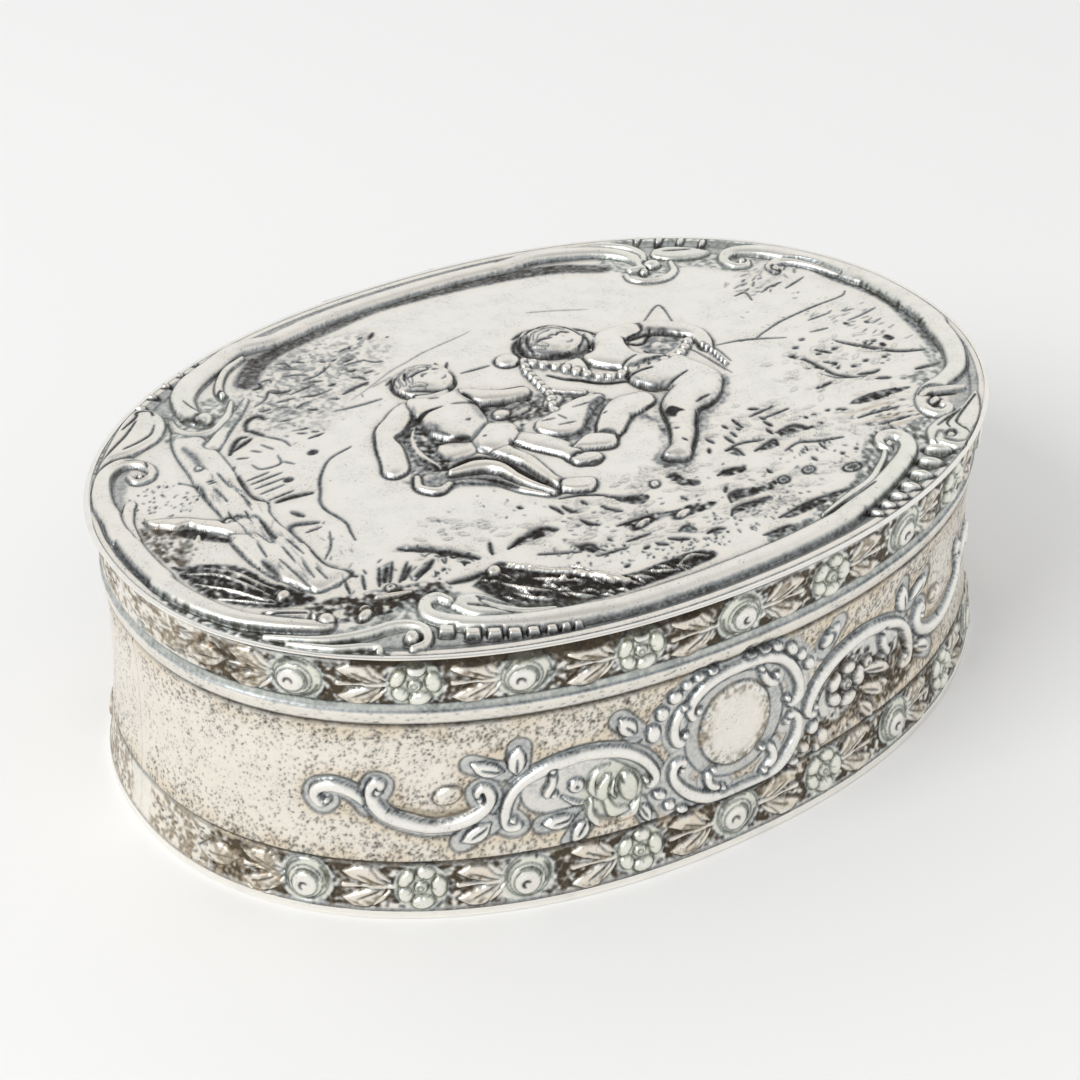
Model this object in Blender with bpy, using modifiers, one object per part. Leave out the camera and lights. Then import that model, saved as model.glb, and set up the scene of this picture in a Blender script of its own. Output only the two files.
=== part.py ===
"""Oval silver keepsake box with an embossed wall and a hinged lid, piece by piece.

Lengths are in metres. The box stands on the plane z = 0, its long axis runs
along X, the front faces -Y and the hinge is at the back. Every piece follows
the oval of the lid's edge: a place on the plan is an angle round that oval and
an offset from it, outwards positive.
"""

import math

import bmesh
import bpy
from mathutils import Matrix, Vector

# The oval of the lid's edge, which the whole box follows.
OVAL_LENGTH = 0.0950
OVAL_WIDTH = 0.0683
OVAL_EXPONENT = 2.15
OVAL_STEPS = 64

# Pieces that are soldered together keep a line of solder between them.
SOLDER_SEAM = 0.0001

# The flat bottom sheet.
BASE_THICKNESS = 0.0005
BASE_EDGE_ROUND = 0.0001

# The walls: two stamped half strips with a flared foot and a hollow waist.
WALL_THICKNESS = 0.0005
WALL_TOP = 0.0288
FOOT_FLARE = 0.0007
LOWER_BAND_TOP = 0.0060
LOWER_BAND_SETBACK = 0.0002
LOWER_BAND_BULGE = 0.0001
LOWER_BAND_STEPS = 3
WAIST_HOLLOW = 0.00036
WAIST_STEPS = 4
MOULDING_FOOT = 0.0215
MOULDING_HEIGHT = 0.0024
MOULDING_RISE = 0.0004
MOULDING_STEPS = 4
UPPER_BAND_SETBACK = 0.0009
WALL_TOP_SETBACK = 0.0007
GROOVE_DEPTH = 0.00025
GROOVE_WIDTH = 0.0005

# The collar inside the mouth, which the lid closes over.
BEZEL_THICKNESS = 0.0004
BEZEL_LIFT = 0.00045
BEZEL_RISE = 0.0002

# The lid: a domed sheet in a wire rim that lies just above the wall.
LID_GAP = 0.0004
RIM_HEIGHT = 0.00045
RIM_WIDTH = 0.00045
RIM_ROUND = 0.0001
LID_THICKNESS = 0.0004
BORDER_WIDTH = 0.0006
CHANNEL_DROP = 0.0001
FIELD_INSET = 0.0052
DOME_RISE = 0.0012
DOME_STEPS = 4

# The raised frame on the lid: four C-scrolls, given by the angles they span.
SCROLL_INSET = 0.0033
SCROLL_WIDTH = 0.0022
SCROLL_HEIGHT = 0.0009
SCROLL_EMBED = 0.0002
SCROLL_SIDES = 5
SCROLL_SPANS = ((-127, -55), (-34, 32), (54, 128), (148, 214))
SCROLL_BODY_STEPS = 12
CURL_RADIUS = 0.0024
CURL_EYE = 0.0011
CURL_TURN = 290
CURL_STEPS = 9
CURL_TIP_share = 0.5

# Bosses are low half ellipsoids pressed up out of a sheet.
BOSS_SEGMENTS = 8
BOSS_RINGS = 3
BOSS_EMBED = 0.0002

# The figures on the lid: two children, the basket between them and a tree. Each
# row gives a boss: its place as shares of half the oval's length and width, its
# half length and half width as shares of half the oval's width, how many degrees
# it is turned and its share of the figures' full height.
FIGURE_RISE = 0.00095
FIGURE_shares = (
    (-0.168, 0.346, 0.096, 0.091, 28, 1.0),
    (-0.196, 0.112, 0.152, 0.096, 95, 0.9),
    (-0.342, 0.105, 0.185, 0.056, 55, 0.62),
    (-0.063, 0.164, 0.105, 0.040, -35, 0.72),
    (-0.160, -0.045, 0.085, 0.066, -20, 0.72),
    (-0.158, -0.230, 0.150, 0.034, -80, 0.68),
    (-0.078, -0.185, 0.125, 0.045, -58, 0.62),
    (-0.228, -0.200, 0.120, 0.030, -55, 0.55),
    (-0.042, 0.010, 0.066, 0.066, 0, 0.45),
    (0.152, 0.337, 0.105, 0.098, 8, 1.0),
    (0.252, 0.130, 0.160, 0.092, -72, 0.88),
    (0.364, 0.240, 0.110, 0.044, -18, 0.68),
    (0.442, 0.132, 0.090, 0.038, -85, 0.62),
    (0.296, -0.100, 0.140, 0.110, 60, 0.92),
    (0.184, -0.290, 0.200, 0.066, 50, 0.84),
    (0.154, -0.112, 0.080, 0.052, 0, 0.74),
    (0.062, -0.175, 0.130, 0.048, 40, 0.66),
    (-0.700, 0.030, 0.450, 0.066, 93, 0.48),
    (-0.800, 0.045, 0.120, 0.040, -40, 0.62),
)

# The scrolls and the plain cartouche on the waist of each wall. Each row gives a
# scroll: the middle of its arc along and up the waist, the arc's half length and
# half height, all as shares of the waist's height, and the angles it spans.
ORNAMENT_WIDTH = 0.0012
ORNAMENT_RISE = 0.0004
ORNAMENT_CURL = 0.0011
ORNAMENT_CURL_EYE = 0.0005
ORNAMENT_CURL_STEPS = 4
ORNAMENT_ARC_STEPS = 8
ORNAMENT_SIDES = 3
ORNAMENT_shares = (
    (-0.09, 0.50, 0.47, 0.42, 195, -15),
    (-0.09, 0.50, 0.46, 0.49, 200, 340),
    (-1.12, 0.29, 0.46, 0.34, 180, 0),
    (-2.05, 0.56, 0.36, 0.29, 175, 355),
    (0.98, 0.30, 0.50, 0.38, 180, 0),
    (2.00, 0.58, 0.38, 0.31, 185, 365),
)
CARTOUCHE_RISE = 0.0002
CARTOUCHE_shares = (-0.09, 0.50, 0.26, 0.29)

# The hinge behind the lid's back edge.
HINGE_LENGTH = 0.0140
KNUCKLE_COUNT = 5
KNUCKLE_GAP = 0.00015
KNUCKLE_RADIUS = 0.0009
PIN_RADIUS = 0.0004
PIN_CLEARANCE = 0.0001
PIN_DROP = 0.0011
BEARER_WEB = 0.0003
BEARER_CLEARANCE = 0.00015
BEARER_FOOT = 0.0010
HINGE_SIDES = 16

# A cutter reaches past what it cuts by this much.
OVERRUN = 0.0020

# Two vertices closer than this are the same one.
MERGE = 0.000001

MOULDING_HEAD = MOULDING_FOOT + MOULDING_HEIGHT
LID_BOTTOM = WALL_TOP + LID_GAP
LID_EDGE_TOP = LID_BOTTOM + RIM_HEIGHT
CHANNEL_TOP = LID_EDGE_TOP - CHANNEL_DROP
HINGE_Y = (OVAL_WIDTH / 2 - WALL_TOP_SETBACK + SOLDER_SEAM + BEARER_WEB
           + BEARER_CLEARANCE + KNUCKLE_RADIUS)
HINGE_Z = WALL_TOP - PIN_DROP


def clear_scene():
    """Remove whatever the file holds."""
    for thing in list(bpy.data.objects):
        bpy.data.objects.remove(thing)
    for group in list(bpy.data.collections):
        bpy.data.collections.remove(group)


def new_collection(name):
    """A collection in the scene."""
    group = bpy.data.collections.new(name)
    bpy.context.scene.collection.children.link(group)
    return group


def metal(name, colour, roughness):
    """A metallic material of one colour and polish."""
    material = bpy.data.materials.new(name)
    material.use_nodes = True
    shader = material.node_tree.nodes["Principled BSDF"]
    shader.inputs["Base Color"].default_value = (*colour, 1.0)
    shader.inputs["Metallic"].default_value = 1.0
    shader.inputs["Roughness"].default_value = roughness
    material.diffuse_color = (*colour, 1.0)
    return material


def oval_point(angle, offset, share=1.0):
    """A point of the plan: the oval moved out by an offset, then drawn in to a share."""
    power = 2 / OVAL_EXPONENT
    across = math.cos(angle)
    along = math.sin(angle)
    x = (OVAL_LENGTH / 2 + offset) * math.copysign(abs(across) ** power, across)
    y = (OVAL_WIDTH / 2 + offset) * math.copysign(abs(along) ** power, along)
    return share * x, share * y


def field_share(x, y):
    """How far out a point lies on the lid's field: 0 at its middle, 1 at its edge."""
    across = abs(x) / (OVAL_LENGTH / 2 - FIELD_INSET)
    along = abs(y) / (OVAL_WIDTH / 2 - FIELD_INSET)
    return (across ** OVAL_EXPONENT + along ** OVAL_EXPONENT) ** (1 / OVAL_EXPONENT)


def dome_height(share):
    """The height of the lid's upper face at a share of the way out."""
    return CHANNEL_TOP + DOME_RISE * (1 - min(share, 1.0) ** 2)


def swept_rings(rings, start, sweep, steps, closed_section=False):
    """Rings of (offset, height, share) joined by faces and swept round the oval.

    The section is spun as a flat fan with its rings one unit apart, which keeps
    each vertex's ring and angle, and every vertex then takes its place.
    """
    mesh = bmesh.new()
    corners = [mesh.verts.new((1 + place, 0, 0)) for place in range(len(rings))]
    edges = [mesh.edges.new(pair) for pair in zip(corners, corners[1:])]
    if closed_section:
        edges.append(mesh.edges.new((corners[-1], corners[0])))
    bmesh.ops.spin(mesh, geom=corners + edges, cent=(0, 0, 0), axis=(0, 0, 1),
                   angle=sweep, steps=steps)
    bmesh.ops.remove_doubles(mesh, verts=mesh.verts, dist=MERGE)
    for vertex in mesh.verts:
        offset, height, share = rings[round(vertex.co.length) - 1]
        angle = start + math.atan2(vertex.co.y, vertex.co.x)
        vertex.co = (*oval_point(angle, offset, share), height)
    bmesh.ops.remove_doubles(mesh, verts=mesh.verts, dist=MERGE)
    bmesh.ops.recalc_face_normals(mesh, faces=mesh.faces)
    return mesh


def face_away_from(mesh, inner):
    """Turn an open surface so that its faces look away from an inner point."""
    outward = sum(face.normal.dot(face.calc_center_median() - inner) * face.calc_area()
                  for face in mesh.faces)
    if outward < 0:
        bmesh.ops.reverse_faces(mesh, faces=mesh.faces)


def object_of(mesh, name, group, material=None):
    """An object that holds a bmesh, with smooth faces and sharp corners."""
    data = bpy.data.meshes.new(name)
    mesh.to_mesh(data)
    mesh.free()
    data.shade_smooth()
    data.set_sharp_from_angle(angle=math.radians(35))
    thing = bpy.data.objects.new(name, data)
    group.objects.link(thing)
    if material:
        data.materials.append(material)
    return thing


def mesh_of_curve(curve_object, group):
    """The curve as a mesh object with welded caps, ready for a Boolean."""
    bpy.context.view_layer.update()
    evaluated = curve_object.evaluated_get(bpy.context.evaluated_depsgraph_get())
    data = bpy.data.meshes.new_from_object(evaluated)
    mesh = bmesh.new()
    mesh.from_mesh(data)
    bmesh.ops.remove_doubles(mesh, verts=mesh.verts, dist=MERGE)
    bmesh.ops.recalc_face_normals(mesh, faces=mesh.faces)
    name = curve_object.name
    place = curve_object.matrix_world.copy()
    bpy.data.objects.remove(curve_object)
    thing = object_of(mesh, name, group)
    thing.matrix_world = place
    return thing


def as_cutter(thing):
    """Mark an object as a shape that only cuts or joins others."""
    thing.hide_render = True
    thing.display_type = "WIRE"
    return thing


def combine(thing, other, operation):
    """Add a Boolean that cuts or joins with another object."""
    modifier = thing.modifiers.new(operation.title(), "BOOLEAN")
    modifier.operation = operation
    modifier.solver = "EXACT"
    modifier.object = other


def thicken(thing, thickness):
    """Give an open surface its sheet's thickness, on its inner side."""
    modifier = thing.modifiers.new("Sheet", "SOLIDIFY")
    modifier.thickness = thickness
    modifier.offset = -1
    modifier.use_even_offset = True


def groove(height, offset):
    """The three corners of a groove round the wall, bottom to top."""
    half = GROOVE_WIDTH / 2
    return [(offset, height - half), (offset - GROOVE_DEPTH, height), (offset, height + half)]


def blend(low, high, share):
    """The value a share of the way from low to high."""
    return low + (high - low) * share


def wall_outline():
    """The wall's outer face as (offset, height), from the foot to the mouth."""
    foot = BASE_THICKNESS + SOLDER_SEAM
    half = GROOVE_WIDTH / 2
    moulding_setback = UPPER_BAND_SETBACK
    outline = []
    for step in range(LOWER_BAND_STEPS):
        share = step / LOWER_BAND_STEPS
        bulge = LOWER_BAND_BULGE * math.sin(math.pi * share)
        outline.append((blend(FOOT_FLARE, -LOWER_BAND_SETBACK, share) + bulge,
                        blend(foot, LOWER_BAND_TOP - half, share)))
    outline += groove(LOWER_BAND_TOP, -LOWER_BAND_SETBACK)
    for step in range(1, WAIST_STEPS):
        share = step / WAIST_STEPS
        hollow = WAIST_HOLLOW * math.sin(math.pi * share)
        outline.append((blend(-LOWER_BAND_SETBACK, -moulding_setback, share) - hollow,
                        blend(LOWER_BAND_TOP + half, MOULDING_FOOT - half, share)))
    outline += groove(MOULDING_FOOT, -moulding_setback)
    for step in range(1, MOULDING_STEPS):
        share = step / MOULDING_STEPS
        rise = MOULDING_RISE * math.sin(math.pi * share)
        outline.append((rise - moulding_setback,
                        blend(MOULDING_FOOT + half, MOULDING_HEAD - half, share)))
    outline += groove(MOULDING_HEAD, -moulding_setback)
    outline.append((-WALL_TOP_SETBACK, WALL_TOP))
    return outline


def make_wall(name, start, group, cutters, material):
    """One stamped half strip, from a soldered end seam to the other."""
    seam = (SOLDER_SEAM / OVAL_WIDTH) ** (OVAL_EXPONENT / 2)
    rings = [(offset, height, 1.0) for offset, height in wall_outline()]
    mesh = swept_rings(rings, start + seam, math.pi - 2 * seam, OVAL_STEPS // 2)
    middle = oval_point(start + math.pi / 2, -OVAL_WIDTH / 2)
    face_away_from(mesh, Matrix.Translation((*middle, WALL_TOP / 2)).translation)
    wall = object_of(mesh, name, group, material)
    thicken(wall, WALL_THICKNESS)
    combine(wall, make_cartouche(name + "_cartouche", start, cutters), "UNION")
    for place, row in enumerate(ORNAMENT_shares):
        scroll = make_wall_scroll(name + "_scroll_" + str(place + 1), start, row, cutters)
        combine(wall, scroll, "UNION")
    return wall


def outline_offset(height):
    """How far the wall's outer face stands out at a height."""
    outline = wall_outline()
    for (low_offset, low), (high_offset, high) in zip(outline, outline[1:]):
        if low <= height <= high:
            return blend(low_offset, high_offset, (height - low) / (high - low))
    return outline[-1][0]


def angle_along(distance):
    """The angle from a wall's middle at which a distance along it is reached."""
    step = math.pi / (8 * OVAL_STEPS)
    angle = 0
    travelled = 0
    here = oval_point(math.pi / 2, -UPPER_BAND_SETBACK)
    while travelled < abs(distance) and angle < math.pi / 2 - step:
        angle += step
        there = oval_point(math.pi / 2 - angle, -UPPER_BAND_SETBACK)
        last = math.dist(here, there)
        travelled += last
        here = there
        if travelled > abs(distance):
            angle -= step * (travelled - abs(distance)) / last
    return math.copysign(angle, distance)


def wall_place(start, along, height):
    """A point of a wall's outer face and the direction straight out of it."""
    angle = start + math.pi / 2 + angle_along(along)
    offset = outline_offset(height)
    step = math.pi / (8 * OVAL_STEPS)
    before = Vector((*oval_point(angle - step, offset), height))
    after = Vector((*oval_point(angle + step, offset), height))
    tangent = (after - before).normalized()
    return Vector((*oval_point(angle, offset), height)), Vector((tangent.y, -tangent.x, 0))


def waist_place(along_share, up_share):
    """A place on the waist, from shares of its height, as along and up."""
    waist = MOULDING_FOOT - LOWER_BAND_TOP
    return along_share * waist, LOWER_BAND_TOP + up_share * waist


def make_wall_scroll(name, start, row, group):
    """One scroll of the waist: an arc with a volute at each end, lofted half round."""
    along_share, up_share, long_share, high_share, first, last = row
    centre, level = waist_place(along_share, up_share)
    waist = MOULDING_FOOT - LOWER_BAND_TOP
    arc = []
    for step in range(ORNAMENT_ARC_STEPS + 1):
        angle = math.radians(blend(first, last, step / ORNAMENT_ARC_STEPS))
        arc.append((centre + long_share * waist * math.cos(angle),
                    level + high_share * waist * math.sin(angle)))
    side = 1 if last > first else -1
    path = with_curls(arc, side, ORNAMENT_CURL, ORNAMENT_CURL_EYE, ORNAMENT_CURL_STEPS)
    places = [wall_place(start, along, height) for along, height in path]
    mesh = bmesh.new()
    rings = []
    for step, (point, out) in enumerate(places):
        before = places[max(step - 1, 0)][0]
        after = places[min(step + 1, len(places) - 1)][0]
        aside = out.cross(after - before).normalized()
        from_end = min(step, len(places) - 1 - step) / ORNAMENT_CURL_STEPS
        size = blend(CURL_TIP_share, 1.0, min(from_end, 1.0))
        ring = []
        for corner in range(ORNAMENT_SIDES + 1):
            angle = math.pi * corner / ORNAMENT_SIDES
            up = (ORNAMENT_RISE + BOSS_EMBED) * size * math.sin(angle) - BOSS_EMBED
            across = ORNAMENT_WIDTH / 2 * size * math.cos(angle)
            ring.append(mesh.verts.new(point + out * up + aside * across))
        rings.append(ring)
    for ring, following in zip(rings, rings[1:]):
        for corner in range(len(ring)):
            mesh.faces.new((ring[corner - 1], ring[corner],
                            following[corner], following[corner - 1]))
    mesh.faces.new(rings[0])
    mesh.faces.new(rings[-1])
    bmesh.ops.recalc_face_normals(mesh, faces=mesh.faces)
    return as_cutter(object_of(mesh, name, group))


def make_cartouche(name, start, group):
    """The plain oval boss in the middle of a wall's waist."""
    along_share, up_share, long_share, high_share = CARTOUCHE_shares
    centre, level = waist_place(along_share, up_share)
    waist = MOULDING_FOOT - LOWER_BAND_TOP
    mesh = unit_boss()
    for vertex in mesh.verts:
        point, out = wall_place(start, centre + vertex.co.x * long_share * waist,
                                level + vertex.co.y * high_share * waist)
        up = (CARTOUCHE_RISE + BOSS_EMBED) * vertex.co.z - BOSS_EMBED
        vertex.co = point + out * up
    return as_cutter(object_of(mesh, name, group))


def make_wall_cutter(name, clearance, group):
    """The walls' outer shape as a solid, grown by a clearance."""
    rings = [(offset + clearance, height, 1.0) for offset, height in wall_outline()]
    lowest = rings[0]
    highest = rings[-1]
    rings[0] = (lowest[0], -OVERRUN, 1.0)
    rings[-1] = (highest[0], highest[1] + clearance, 1.0)
    rings.insert(0, (0, -OVERRUN, 0.0))
    rings.append((0, highest[1] + clearance, 0.0))
    mesh = swept_rings(rings, 0, 2 * math.pi, OVAL_STEPS)
    return as_cutter(object_of(mesh, name, group))


def make_base(group, material):
    """The oval bottom sheet, whose edge shows as the plain foot."""
    outline = bpy.data.curves.new("base_plate", "CURVE")
    outline.dimensions = "2D"
    outline.fill_mode = "BOTH"
    outline.extrude = BASE_THICKNESS / 2
    spline = outline.splines.new("POLY")
    spline.points.add(OVAL_STEPS - 1)
    for step, point in enumerate(spline.points):
        angle = 2 * math.pi * step / OVAL_STEPS
        point.co = (*oval_point(angle, FOOT_FLARE), 0, 1)
    spline.use_cyclic_u = True
    plate = bpy.data.objects.new("base_plate", outline)
    group.objects.link(plate)
    outline.materials.append(material)
    plate.location.z = BASE_THICKNESS / 2
    weld = plate.modifiers.new("Weld", "WELD")
    weld.merge_threshold = MERGE
    bevel = plate.modifiers.new("Edge", "BEVEL")
    bevel.width = BASE_EDGE_ROUND
    bevel.segments = 1
    return plate


def make_bezel(group, material):
    """The collar inside the mouth, standing a little proud of the wall."""
    outer = -(UPPER_BAND_SETBACK + WALL_THICKNESS + SOLDER_SEAM)
    inner = outer - BEZEL_THICKNESS
    top = WALL_TOP + BEZEL_RISE
    bottom = MOULDING_HEAD + GROOVE_WIDTH / 2 + BEZEL_LIFT
    section = [(outer, top, 1.0), (outer, bottom, 1.0), (inner, bottom, 1.0), (inner, top, 1.0)]
    mesh = swept_rings(section, 0, 2 * math.pi, OVAL_STEPS, closed_section=True)
    return object_of(mesh, "mouth_bezel", group, material)


def make_rim(group, material):
    """The wire round the lid's edge, with its outer corners rounded."""
    section = [
        (-RIM_ROUND, LID_EDGE_TOP, 1.0),
        (0, LID_EDGE_TOP - RIM_ROUND, 1.0),
        (0, LID_BOTTOM + RIM_ROUND, 1.0),
        (-RIM_ROUND, LID_BOTTOM, 1.0),
        (-RIM_WIDTH, LID_BOTTOM, 1.0),
        (-RIM_WIDTH, LID_EDGE_TOP, 1.0),
    ]
    mesh = swept_rings(section, 0, 2 * math.pi, OVAL_STEPS, closed_section=True)
    return object_of(mesh, "lid_rim", group, material)


def curl(x, y, heading, side, outer, eye, steps):
    """Points of a volute that starts at a place and heading and turns to one side."""
    turn = math.radians(CURL_TURN) / steps
    points = []
    for step in range(steps):
        radius = blend(outer, eye, (step + 0.5) / steps)
        heading += side * turn / 2
        x += 2 * radius * math.sin(turn / 2) * math.cos(heading)
        y += 2 * radius * math.sin(turn / 2) * math.sin(heading)
        heading += side * turn / 2
        points.append((x, y))
    return points


def with_curls(body, side, outer, eye, steps):
    """A path with a volute added at each end, both curled to its inner side."""
    (x0, y0), (x1, y1) = body[0], body[1]
    (x2, y2), (x3, y3) = body[-2], body[-1]
    head = curl(x0, y0, math.atan2(y0 - y1, x0 - x1), -side, outer, eye, steps)
    tail = curl(x3, y3, math.atan2(y3 - y2, x3 - x2), side, outer, eye, steps)
    return head[::-1] + body + tail


def scroll_path(start, end):
    """The plan of one C-scroll: along the oval, with a volute curled in at each end."""
    body = []
    for step in range(SCROLL_BODY_STEPS + 1):
        angle = math.radians(blend(start, end, step / SCROLL_BODY_STEPS))
        body.append(oval_point(angle, -SCROLL_INSET))
    return with_curls(body, 1, CURL_RADIUS, CURL_EYE, CURL_STEPS)


def make_scroll_section(group):
    """The half-round section of the frame, flat side down, as a guide curve."""
    section = bpy.data.curves.new("scroll_section", "CURVE")
    section.dimensions = "2D"
    spline = section.splines.new("POLY")
    spline.points.add(SCROLL_SIDES)
    for step, point in enumerate(spline.points):
        angle = math.pi * step / SCROLL_SIDES
        across = SCROLL_WIDTH / 2 * math.cos(angle)
        up = (SCROLL_HEIGHT + SCROLL_EMBED) * math.sin(angle)
        point.co = (across, up, 0, 1)
    spline.use_cyclic_u = True
    guide = bpy.data.objects.new("scroll_section", section)
    group.objects.link(guide)
    return as_cutter(guide)


def make_scroll(name, start, end, section, group):
    """One C-scroll, half round, tapering into its volutes and lying on the sheet."""
    path = scroll_path(start, end)
    curve = bpy.data.curves.new(name, "CURVE")
    curve.dimensions = "3D"
    curve.twist_mode = "Z_UP"
    curve.bevel_mode = "OBJECT"
    curve.bevel_object = section
    curve.use_fill_caps = True
    spline = curve.splines.new("POLY")
    spline.points.add(len(path) - 1)
    for step, (x, y) in enumerate(path):
        height = dome_height(field_share(x, y)) - SCROLL_EMBED
        spline.points[step].co = (x, y, height, 1)
        from_end = min(step, len(path) - 1 - step) / CURL_STEPS
        spline.points[step].radius = blend(CURL_TIP_share, 1.0, min(from_end, 1.0))
    scroll = bpy.data.objects.new(name, curve)
    group.objects.link(scroll)
    return as_cutter(mesh_of_curve(scroll, group))


def unit_boss():
    """Half a ball of radius 1 on a flat bottom, spun from its profile."""
    mesh = bmesh.new()
    corners = []
    for step in range(BOSS_RINGS + 1):
        rise = math.pi / 2 * step / BOSS_RINGS
        corners.append(mesh.verts.new((math.sin(rise), 0, math.cos(rise))))
    corners.append(mesh.verts.new((0, 0, 0)))
    edges = [mesh.edges.new(pair) for pair in zip(corners, corners[1:])]
    bmesh.ops.spin(mesh, geom=corners + edges, cent=(0, 0, 0), axis=(0, 0, 1),
                   angle=2 * math.pi, steps=BOSS_SEGMENTS)
    bmesh.ops.remove_doubles(mesh, verts=mesh.verts, dist=MERGE)
    bmesh.ops.recalc_face_normals(mesh, faces=mesh.faces)
    return mesh


def make_figure(name, row, group):
    """One boss of the lid's figures, whose foot follows the domed field."""
    across_share, along_share, long_share, short_share, turn, rise_share = row
    centre_x = across_share * OVAL_LENGTH / 2
    centre_y = along_share * OVAL_WIDTH / 2
    cosine = math.cos(math.radians(turn))
    sine = math.sin(math.radians(turn))
    mesh = unit_boss()
    for vertex in mesh.verts:
        along = vertex.co.x * long_share * OVAL_WIDTH / 2
        aside = vertex.co.y * short_share * OVAL_WIDTH / 2
        x = centre_x + along * cosine - aside * sine
        y = centre_y + along * sine + aside * cosine
        foot = dome_height(field_share(x, y)) - BOSS_EMBED
        vertex.co = (x, y, foot + (FIGURE_RISE * rise_share + BOSS_EMBED) * vertex.co.z)
    return as_cutter(object_of(mesh, name, group))


def make_lid_sheet(group, cutters, material):
    """The stamped lid: border, channel and domed field, with the scroll frame on it."""
    edge = -(RIM_WIDTH + SOLDER_SEAM)
    rings = [(edge, LID_EDGE_TOP, 1.0), (edge - BORDER_WIDTH, LID_EDGE_TOP, 1.0),
             (edge - 2 * BORDER_WIDTH, CHANNEL_TOP, 1.0)]
    for step in range(DOME_STEPS + 1):
        share = 1 - step / DOME_STEPS
        rings.append((-FIELD_INSET, dome_height(share), share))
    mesh = swept_rings(rings, 0, 2 * math.pi, OVAL_STEPS)
    face_away_from(mesh, Matrix.Translation((0, 0, 0)).translation)
    sheet = object_of(mesh, "lid_sheet", group, material)
    thicken(sheet, LID_THICKNESS)
    section = make_scroll_section(cutters)
    for place, (start, end) in enumerate(SCROLL_SPANS):
        scroll = make_scroll("scroll_" + str(place + 1), start, end, section, cutters)
        combine(sheet, scroll, "UNION")
    for place, row in enumerate(FIGURE_shares):
        combine(sheet, make_figure("figure_" + str(place + 1), row, cutters), "UNION")
    return sheet


def turned_along_x(name, section, x, group, material=None):
    """A piece turned about the hinge's axis from a closed section of (radius, along)."""
    mesh = bmesh.new()
    corners = [mesh.verts.new((radius, 0, along)) for radius, along in section]
    for first, second in zip(corners, corners[1:] + corners[:1]):
        mesh.edges.new((first, second))
    piece = object_of(mesh, name, group, material)
    piece.location = (x, HINGE_Y, HINGE_Z)
    piece.rotation_euler.y = math.pi / 2
    turning = piece.modifiers.new("Turned", "SCREW")
    turning.steps = HINGE_SIDES
    turning.render_steps = HINGE_SIDES
    turning.use_merge_vertices = True
    turning.merge_threshold = MERGE
    turning.use_smooth_shade = True
    return piece


def make_knuckles(group, material):
    """The hinge's tube pieces, from left to right, alternately the box's and the lid's."""
    length = (HINGE_LENGTH - (KNUCKLE_COUNT - 1) * KNUCKLE_GAP) / KNUCKLE_COUNT
    bore = PIN_RADIUS + PIN_CLEARANCE
    section = [(KNUCKLE_RADIUS, length / 2), (KNUCKLE_RADIUS, -length / 2),
               (bore, -length / 2), (bore, length / 2)]
    names = ("box_knuckle_left", "lid_knuckle_left", "box_knuckle_middle",
             "lid_knuckle_right", "box_knuckle_right")
    knuckles = []
    for place, name in enumerate(names):
        x = (place - (KNUCKLE_COUNT - 1) / 2) * (length + KNUCKLE_GAP)
        knuckles.append(turned_along_x(name, section, x, group, material))
    return knuckles


def make_pin(group, material):
    """The wire that holds the knuckles together."""
    section = bmesh.new()
    bmesh.ops.create_cone(section, cap_ends=True, segments=HINGE_SIDES, radius1=PIN_RADIUS,
                          radius2=PIN_RADIUS, depth=HINGE_LENGTH)
    pin = object_of(section, "hinge_pin", group, material)
    pin.location = (0, HINGE_Y, HINGE_Z)
    pin.rotation_euler.y = math.pi / 2
    return pin


def make_barrel_cutter(group):
    """The space that the knuckles take, grown by their clearance."""
    mesh = bmesh.new()
    radius = KNUCKLE_RADIUS + BEARER_CLEARANCE
    bmesh.ops.create_cone(mesh, cap_ends=True, segments=2 * HINGE_SIDES, radius1=radius,
                          radius2=radius, depth=HINGE_LENGTH + 2 * OVERRUN)
    cutter = object_of(mesh, "barrel_space", group)
    cutter.location = (0, HINGE_Y, HINGE_Z)
    cutter.rotation_euler.y = math.pi / 2
    return as_cutter(cutter)


def make_block(name, low, high, group, material):
    """A rectangular block between two corners."""
    mesh = bmesh.new()
    bmesh.ops.create_cube(mesh, size=1)
    for vertex in mesh.verts:
        for axis in range(3):
            vertex.co[axis] = blend(low[axis], high[axis], vertex.co[axis] + 0.5)
    return object_of(mesh, name, group, material)


def make_bearers(group, cutters, material):
    """The strips that carry the straight hinge on the curved wall and under the rim."""
    barrel = make_barrel_cutter(cutters)
    wall = make_wall_cutter("wall_space_soldered", SOLDER_SEAM, cutters)
    wall_clear = make_wall_cutter("wall_space_clear", LID_GAP, cutters)
    half = HINGE_LENGTH / 2
    inside = HINGE_Y - KNUCKLE_RADIUS - OVERRUN
    foot = HINGE_Z - KNUCKLE_RADIUS - BEARER_FOOT
    box_side = make_block("hinge_bearer_box", (-half, inside, foot),
                          (half, HINGE_Y, HINGE_Z), group, material)
    combine(box_side, wall, "DIFFERENCE")
    combine(box_side, barrel, "DIFFERENCE")
    lid_side = make_block("hinge_bearer_lid", (-half, inside, HINGE_Z + KNUCKLE_RADIUS / 2),
                          (half, HINGE_Y, LID_BOTTOM - SOLDER_SEAM), group, material)
    combine(lid_side, wall_clear, "DIFFERENCE")
    combine(lid_side, barrel, "DIFFERENCE")
    return box_side, lid_side


def hang_on(pivot, pieces):
    """Parent pieces to an empty without moving them."""
    for piece in pieces:
        piece.parent = pivot
        piece.matrix_parent_inverse = Matrix.Translation(-pivot.location)


def make_pivot(name, place, group):
    """An empty that carries the pieces of one body."""
    pivot = bpy.data.objects.new(name, None)
    group.objects.link(pivot)
    pivot.location = place
    return pivot


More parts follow.
